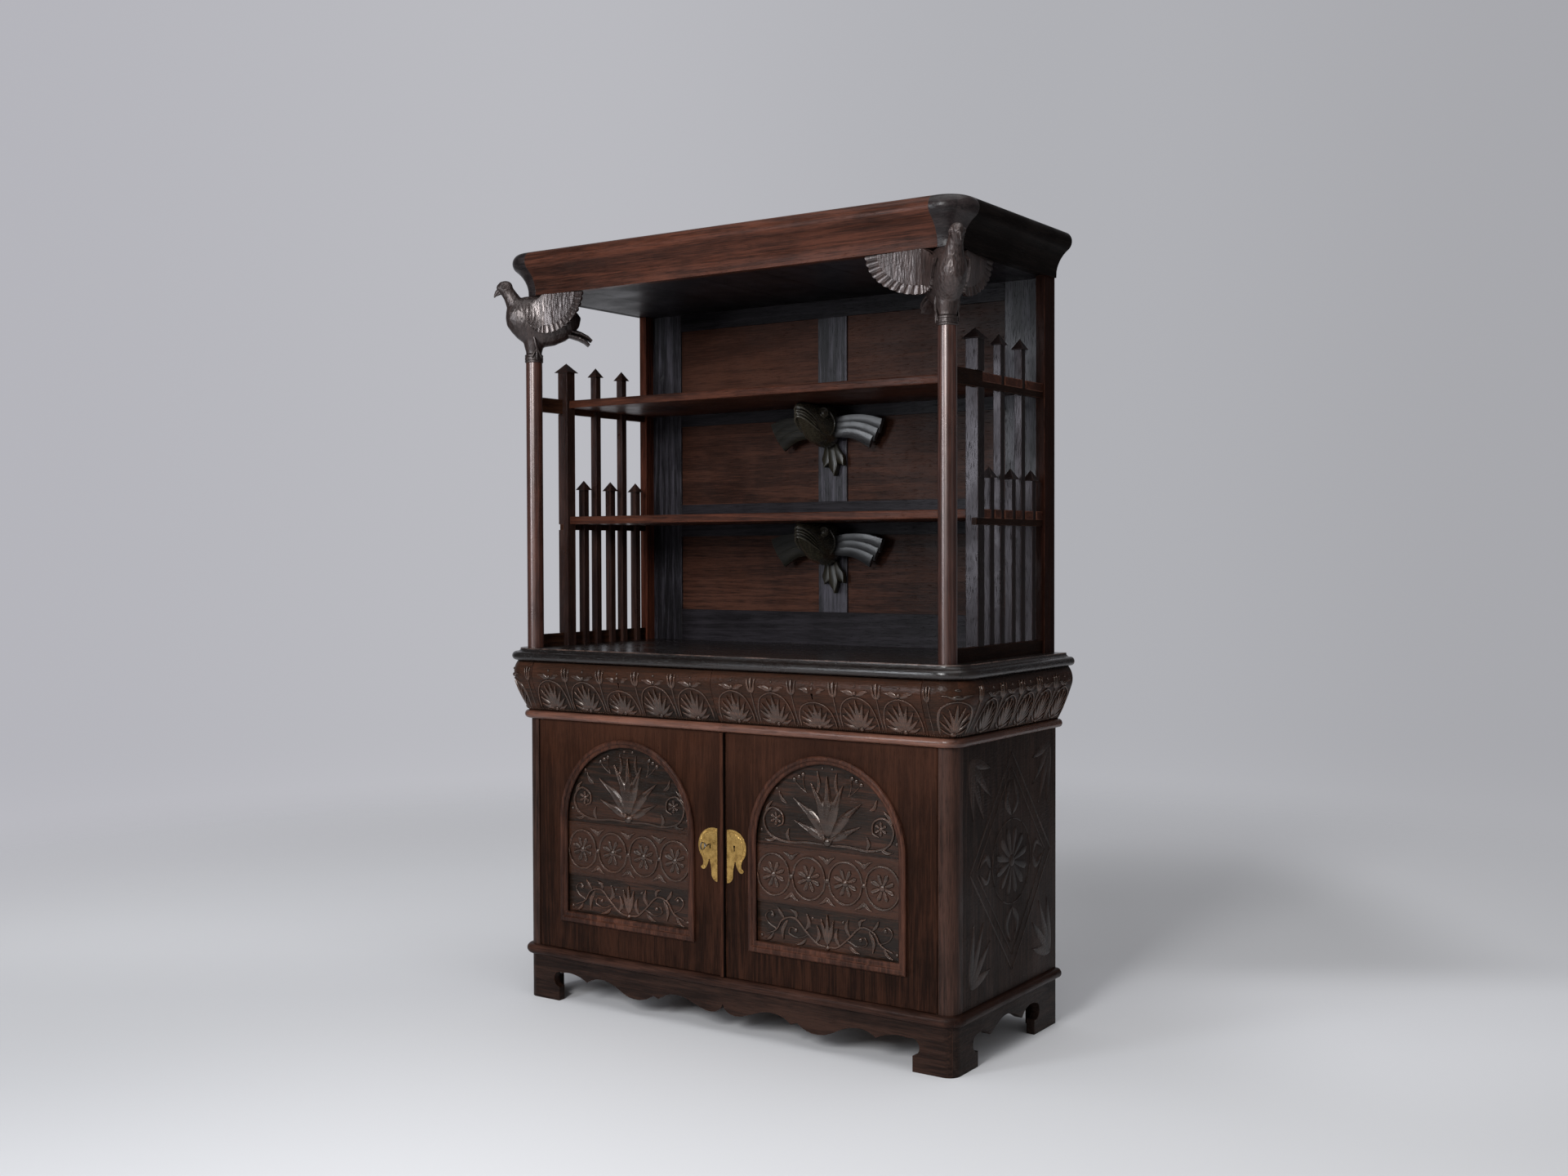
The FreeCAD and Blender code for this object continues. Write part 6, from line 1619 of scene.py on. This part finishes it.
@dataclass
class PlateTrim:
    """The engraved border and the nails of one brass keyhole plate."""
    bench: Bench
    name: str
    side: float
    edge: float
    head: float = 0.524
    width: float = 0.06
    height: float = 0.136
    face: float = -0.0015 - CARCASS_FRONT
    bars: int = 30
    rim: tuple[Point, ...] = ((0.02, 0.0), (0.34, 0.0), (0.62, 0.035), (0.9, 0.16), (1.0, 0.32), (0.9, 0.5),
                              (0.78, 0.6))
    hub: Point = (0.34, 0.34)
    nails: tuple[Point, ...] = ((0.09, 0.045), (0.14, 0.945), (0.7, 0.735))

    def ground(self, over: float, up: float, height: float) -> Vector:
        """Return a place on the plate from shares of its width and height."""
        return Vector((self.side * (self.edge + over * self.width), self.face - height, self.head - up * self.height))

    def on_border(self, along: float, reach: float) -> Point:
        """Return a point between the plate's hub and its curved rim."""
        over, down = curve_place(self.rim, along)
        return (self.hub[0] + (over - self.hub[0]) * reach, self.hub[1] + (down - self.hub[1]) * reach)

    def build(self) -> None:
        """Make the hatched border, its inner line and the nails."""
        blades = []
        for index in range(self.bars):
            along = (index + 0.5) / self.bars
            line = (self.on_border(along, 0.8), self.on_border(along, 0.95))
            blades.append(Blade(line, 0.03, Outline.STEM, 0.55 * MM, sink=0.3 * MM, rows=3, columns=2))
        inner = tuple(self.on_border(step / 8, 0.77) for step in range(9))
        blades.append(Blade(inner, 0.022, Outline.STEM, 0.5 * MM, sink=0.3 * MM, rows=26, columns=2))
        pieces = [blade.carve(self.bench, self.ground) for blade in blades]
        for over, down in self.nails:
            pieces.append(self.bench.placed("nail", self.bench.dome(), lambda corner, over=over, down=down: self.ground(
                over, down, 0.0) + Vector((corner.x, -(corner.z if corner.z > 0 else 0.2 * corner.z) * 0.6, corner.y))
                * 2.4 * MM))
        trim = self.bench.joined(f"plate_trim_{self.name}", pieces)
        self.bench.finish(trim, f"{self.name}_door", "old_brass", OLD_BRASS.material())


@dataclass
class Joinery:
    """The plain joinery of the cupboard, which keeps its own shape and gets its finish."""
    side_boards: int = 3
    soffit_boards: int = 7
    back_boards: int = 5
    seed_step: float = 1.37

    def dress(self) -> None:
        """Give every piece of joinery its wood or metal."""
        side_low, side_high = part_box("side_panels")
        soffit_low, soffit_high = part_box("soffit_boards")
        back_low, back_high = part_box("carcass_back")
        lays = {"side_panels": BoardLay(1, side_low.y, (side_high.y - side_low.y) / self.side_boards),
                "soffit_boards": BoardLay(0, soffit_low.x, (soffit_high.x - soffit_low.x) / self.soffit_boards),
                "carcass_back": BoardLay(0, back_low.x, (back_high.x - back_low.x) / self.back_boards)}
        strip_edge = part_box("meeting_strip")[1].x
        # The strip's near-black dark tone, laid on its last 3 mm towards the right, is painted shade for the gap and
        # the strip's side face.
        strip_oak = replace(DOOR_OAK, name="strip_oak", dark=(0.001, 0.0007, 0.0006), middle=(0.024, 0.0092, 0.0054),
                            light=(0.06, 0.0225, 0.013), worn_and_highlight=(0.15, 0.062, 0.038), wear=1.0, wear_width=2.0 * MM,
                            shine=0.05, right_shade=0.95, right_shade_from=(strip_edge - 3.0 * MM, strip_edge - 2.4 * MM))
        plan: list[tuple[OakFinish, Grain, str]] = [
            (APRON_OAK, Grain.ALONG, "front_apron back_apron drawer_divider"),
            (SIDE_OAK, Grain.DEEP, "side_aprons"),
            (SHADED_FRIEZE_SIDE_OAK, Grain.DEEP, "frieze_sides"),
            (SHADED_SIDE_OAK, Grain.DEEP, "cornice_sides"),
            (DOOR_OAK, Grain.UPRIGHT, "foot_blocks door_leaf_left door_leaf_right"),
            (strip_oak, Grain.UPRIGHT, "meeting_strip"),
            (POST_OAK, Grain.UPRIGHT, "corner_posts"),
            (MOULDED_OAK, Grain.WRAPPED, "base_moulding"),
            (WORN_OAK, Grain.WRAPPED, "bead_moulding"),
            (INNER_OAK, Grain.ALONG, "bottom_board inner_shelf dust_board top_boards"),
            (INNER_OAK, Grain.DEEP, "shelf_bearers drawer_guides drawer_tray_left drawer_tray_right"),
            (BROWN_OAK, Grain.UPRIGHT, "carcass_back"),
            (SIDE_OAK, Grain.UPRIGHT, "side_panels"),
            (CORNER_SHEEN_OAK, Grain.WRAPPED, "cornice_corners"),
            (FRIEZE_OAK, Grain.WRAPPED, "frieze_corners"),
            (FRIEZE_OAK, Grain.ALONG, "drawer_front_left drawer_front_right"),
            (BANDED_OAK, Grain.ALONG, "arched_panel_left arched_panel_right"),
            (COUNTER_OAK, Grain.WRAPPED, "counter_top"),
            (ARCH_OAK, Grain.UPRIGHT, "arch_moulding_left arch_moulding_right"),
            (POLISHED_OAK, Grain.UPRIGHT, "column_left column_right"),
            (WAXED_CARVING, Grain.UPRIGHT, "column_collars bird_left bird_right bird_wings"),
            (WAXED_CARVING, Grain.DEEP, "fish_bracket_upper fish_bracket_lower"),
            (RAIL_OAK, Grain.DEEP, "bottom_side_rails upper_side_rails lower_bearers"),
            (GALLERY_OAK, Grain.UPRIGHT, "gate_posts pickets"),
            (UPRIGHT_SHEEN_OAK, Grain.UPRIGHT, "back_stiles back_muntins"),
            (INNER_POST_OAK, Grain.UPRIGHT, "back_posts"),
            (BLACK_SHEEN_OAK, Grain.ALONG, "back_rails"),
            (PANEL_OAK, Grain.ALONG, "back_panels"),
            (SHELF_OAK, Grain.ALONG, "upper_shelf lower_shelf"),
            (CORNICE_OAK, Grain.ALONG, "cornice_front"),
            (BLACK_SHEEN_OAK, Grain.DEEP, "soffit_boards")]
        seed = 0.0
        for finish, grain, names in plan:
            for name in names.split():
                seed += self.seed_step
                self.finish_node(name, finish.material(name, grain, seed, lays.get(name)))
        for metal, names in ((OLD_BRASS, "lock_plate_left lock_plate_right"),
                             (DARK_STEEL, "door_pins lock_case lock_bolt key")):
            material = metal.material()
            for name in names.split():
                self.finish_node(name, material)
        LOG.info("dressed %d pieces of joinery", len(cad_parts))

    def finish_node(self, name: str, material: bpy.types.Material) -> None:
        """Put a material on every face of one piece of joinery.

        Args:
            name: the name of the piece.
            material: the material.
        """
        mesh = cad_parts[name].data
        if not mesh.materials:
            mesh.materials.append(material)
        for index in range(len(mesh.materials)):
            mesh.materials[index] = material


@dataclass
class Studio:
    """The seamless pale floor, the soft light and the camera of the photograph."""
    floor_radius: float = 9.0
    camera_place: Place = (2.4665, -3.60118, 1.2322)
    yaw: float = 0.5956
    pitch: float = -0.0225
    roll: float = -0.0031
    focal_pixels: float = 2005.9
    sensor: float = 36.0
    ambient: float = 0.36
    ambient_tone: tuple[float, float, float, float] = (0.82, 0.83, 0.87, 1.0)
    fade: tuple[float, float] = (2.3, 5.0)
    # the paper's tones by distance, rising further back as painted light that makes up for the lamps' fall-off
    paper_tones_and_light: Stops = (
        (0.0, (0.735, 0.735, 0.745)), (0.3, (0.72, 0.72, 0.73)), (0.42, (0.73, 0.73, 0.745)),
        (0.6, (0.8, 0.8, 0.815)), (0.95, (0.86, 0.86, 0.875)))
    # painted shade on the left, painted shadow behind the cupboard and a painted pool of light in front on the right
    painted_shade_left: Colour = (0.55, 0.55, 0.56)
    painted_shadow_behind: Colour = (0.63, 0.63, 0.64)
    painted_light_right: Colour = (0.84, 0.84, 0.855)
    air_scale: Stops = (
        (0.0, (0.462, 0.462, 0.5)), (0.35, (0.49, 0.492, 0.525)), (0.72, (0.43, 0.434, 0.462)),
        (1.0, (0.388, 0.39, 0.415)))
    paper_edge: tuple[float, float] = (0.62, 0.92)
    room_scale: Stops = ((0.0, (0.14, 0.14, 0.14)), (1.0, (1.0, 1.0, 1.0)))
    paper_scale: Stops = (
        (0.0, (1.55, 1.55, 1.5)), (0.55, (1.14, 1.14, 1.13)), (1.0, (1.0, 1.0, 1.0)))

    def build(self) -> None:
        """Make the floor, the lamps, the world and the camera."""
        self.floor()
        self.world()
        self.lamp("key_light", (0.9, -4.7, 2.9), (0.0, 0.0, 1.05), (0.95, 1.7), 150.0)
        self.lamp("left_strip", (-1.35, -3.9, 1.85), (0.4, -0.1, 1.4), (0.8, 1.7), 50.0, (0.9, 0.94, 1.0))
        self.lamp("overhead", (0.7, -0.9, 4.8), (0.5, -0.7, 0.0), (4.2, 3.6), 80.0)
        self.lamp("side_glow", (4.6, -0.6, 1.7), (0.6, 0.0, 1.0), (1.2, 2.2), 2.4)
        self.camera()
        bpy.context.scene.view_settings.view_transform = "Standard"

    def floor(self) -> None:
        """Make the floor, which is palest in front and fades into the background far from the cupboard, with light and
        shade painted into its tone.
        """
        bpy.ops.object.select_all(action="DESELECT")
        bpy.ops.mesh.primitive_circle_add(vertices=96, radius=self.floor_radius, fill_type="NGON")
        floor = bpy.context.active_object
        floor.name = "studio_floor"
        art = Sketch("studio_paper")
        aside, ahead = self.seen_from_camera(art, art.place)
        # paper tone with painted light: it rises further back, making up for the lamps' fall-off
        tone = art.ramp(art.between(ahead, -1.6, 2.4), self.paper_tones_and_light)
        # painted shade on the floor to the left
        left = art.maths("MULTIPLY", art.between(aside, -0.4, -2.0), art.between(ahead, 1.1, -0.7))
        tone = art.blend(art.maths("MULTIPLY", left, 0.9), tone, self.painted_shade_left)
        # painted shadow of the cupboard on the floor behind it, to the right
        behind = art.maths("MULTIPLY", art.between(aside, 0.4, 1.2), art.between(aside, 2.4, 1.75))
        behind = art.maths("MULTIPLY", behind, art.between(ahead, 0.0, 0.6))
        behind = art.maths("MULTIPLY", behind, art.between(ahead, 2.8, 1.3))
        tone = art.blend(behind, tone, self.painted_shadow_behind)
        # painted pool of light on the floor in front, to the right
        right = art.maths("MULTIPLY", art.between(aside, 0.9, 1.5), art.between(ahead, -1.1, -0.3))
        right = art.maths("MULTIPLY", right, art.between(ahead, 0.5, 0.1))
        tone = art.blend(right, tone, self.painted_light_right)
        paper = art.dressed({"Base Color": tone, "Roughness": 0.8, "Specular IOR Level": 0.1})
        clear = art.add("ShaderNodeBsdfTransparent").outputs[0]
        gone = art.between(art.vector_maths("LENGTH", art.place, out="Value"), *self.fade)
        art.join(art.switched(gone, art.shader.outputs[0], clear), art.output.inputs["Surface"])
        floor.data.materials.append(paper)

    def seen_from_camera(self, art: Nodes, place: Socket) -> list[Socket]:
        """Return how far a place or a direction lies to the camera's right, and how far ahead of it."""
        ways = ((math.cos(self.yaw), math.sin(self.yaw), 0.0), (-math.sin(self.yaw), math.cos(self.yaw), 0.0))
        return [art.vector_maths("DOT_PRODUCT", place, way, out="Value") for way in ways]

    def world(self) -> None:
        """Make a grey background that pales towards the floor, and a weaker light for everything else."""
        world = bpy.data.worlds.new("studio_air")
        bpy.context.scene.world = world
        world.use_nodes = True
        art = Nodes(world.node_tree)
        way = art.add("ShaderNodeTexCoord").outputs["Generated"]
        aside, ahead = self.seen_from_camera(art, way)
        air = art.ramp(art.between(aside, -0.45, 0.42, kind="LINEAR"), self.air_scale, "EASE")
        paper = art.ramp(art.between(art.split(way)[2], -0.34, -0.1, kind="LINEAR"), self.paper_scale, "EASE")
        room = art.ramp(art.between(ahead, *self.paper_edge, kind="LINEAR"), self.room_scale, "EASE")
        path = art.add("ShaderNodeLightPath")
        straight = path.outputs["Is Camera Ray"]
        seen = self.glow(art, art.blend(1.0, air, paper, "MULTIPLY"), art.maths("MAXIMUM", room, straight))
        for name in ("Is Glossy Ray", "Is Transmission Ray"):
            straight = art.maths("MAXIMUM", straight, path.outputs[name])
        mixed = art.switched(straight, self.glow(art, self.ambient_tone, self.ambient), seen)
        art.add("ShaderNodeOutputWorld", {"Surface": mixed})

    def glow(self, art: Nodes, colour: object, strength: object) -> Socket:
        """Return a background light."""
        return art.add("ShaderNodeBackground", {"Color": colour, "Strength": strength}).outputs[0]

    def lamp(self, name: str, place: Place, aim: Place, size: tuple[float, float], power: float,
             colour: Colour = (0.985, 0.99, 1.0)) -> None:
        """Hang one large soft lamp.

        Args:
            name: the lamp's name.
            place: where it hangs.
            aim: the point that it faces.
            size: its width and height.
            power: its power in watts.
            colour: the colour of its light.
        """
        data = bpy.data.lights.new(name, "AREA")
        data.shape = "RECTANGLE"
        data.size, data.size_y = size
        data.energy = power
        data.color = colour
        lamp = bpy.data.objects.new(name, data)
        bpy.context.scene.collection.objects.link(lamp)
        lamp.location = place
        lamp.rotation_euler = (Vector(aim) - Vector(place)).to_track_quat("-Z", "Y").to_euler()

    def camera(self) -> None:
        """Make the camera from the place, the turn and the focal length found in the photograph."""
        data = bpy.data.cameras.new("view")
        data.sensor_width = self.sensor
        data.lens = self.sensor * self.focal_pixels / PHOTO_WIDTH
        camera = bpy.data.objects.new("view", data)
        bpy.context.scene.collection.objects.link(camera)
        ahead = Vector((-math.sin(self.yaw) * math.cos(self.pitch), math.cos(self.yaw) * math.cos(self.pitch),
                        math.sin(self.pitch)))
        right = Vector((math.cos(self.yaw), math.sin(self.yaw), 0.0))
        up = right.cross(ahead)
        level = right * math.cos(self.roll) + up * math.sin(self.roll)
        rise = up * math.cos(self.roll) - right * math.sin(self.roll)
        turn = Matrix((level, rise, -ahead)).transposed().to_4x4()
        camera.matrix_world = Matrix.Translation(self.camera_place) @ turn
        bpy.context.scene.camera = camera


def main() -> None:
    """Dress the joinery, build the carved pieces and set up the studio."""
    logging.basicConfig(level=logging.INFO, format="%(message)s")
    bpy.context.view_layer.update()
    Joinery().dress()
    bench = Bench()
    BirdCapital(bench).build()
    FishBracket(bench).build()
    CarvedFrieze(bench).build()
    CarvedDoor(bench, "left", -0.314).build()
    CarvedDoor(bench, "right", 0.314).build()
    CarvedSide(bench).build()
    PlateTrim(bench, "left", -1.0, 0.014).build()
    PlateTrim(bench, "right", 1.0, 0.0164).build()
    Studio().build()


if __name__ == "__main__":
    main()
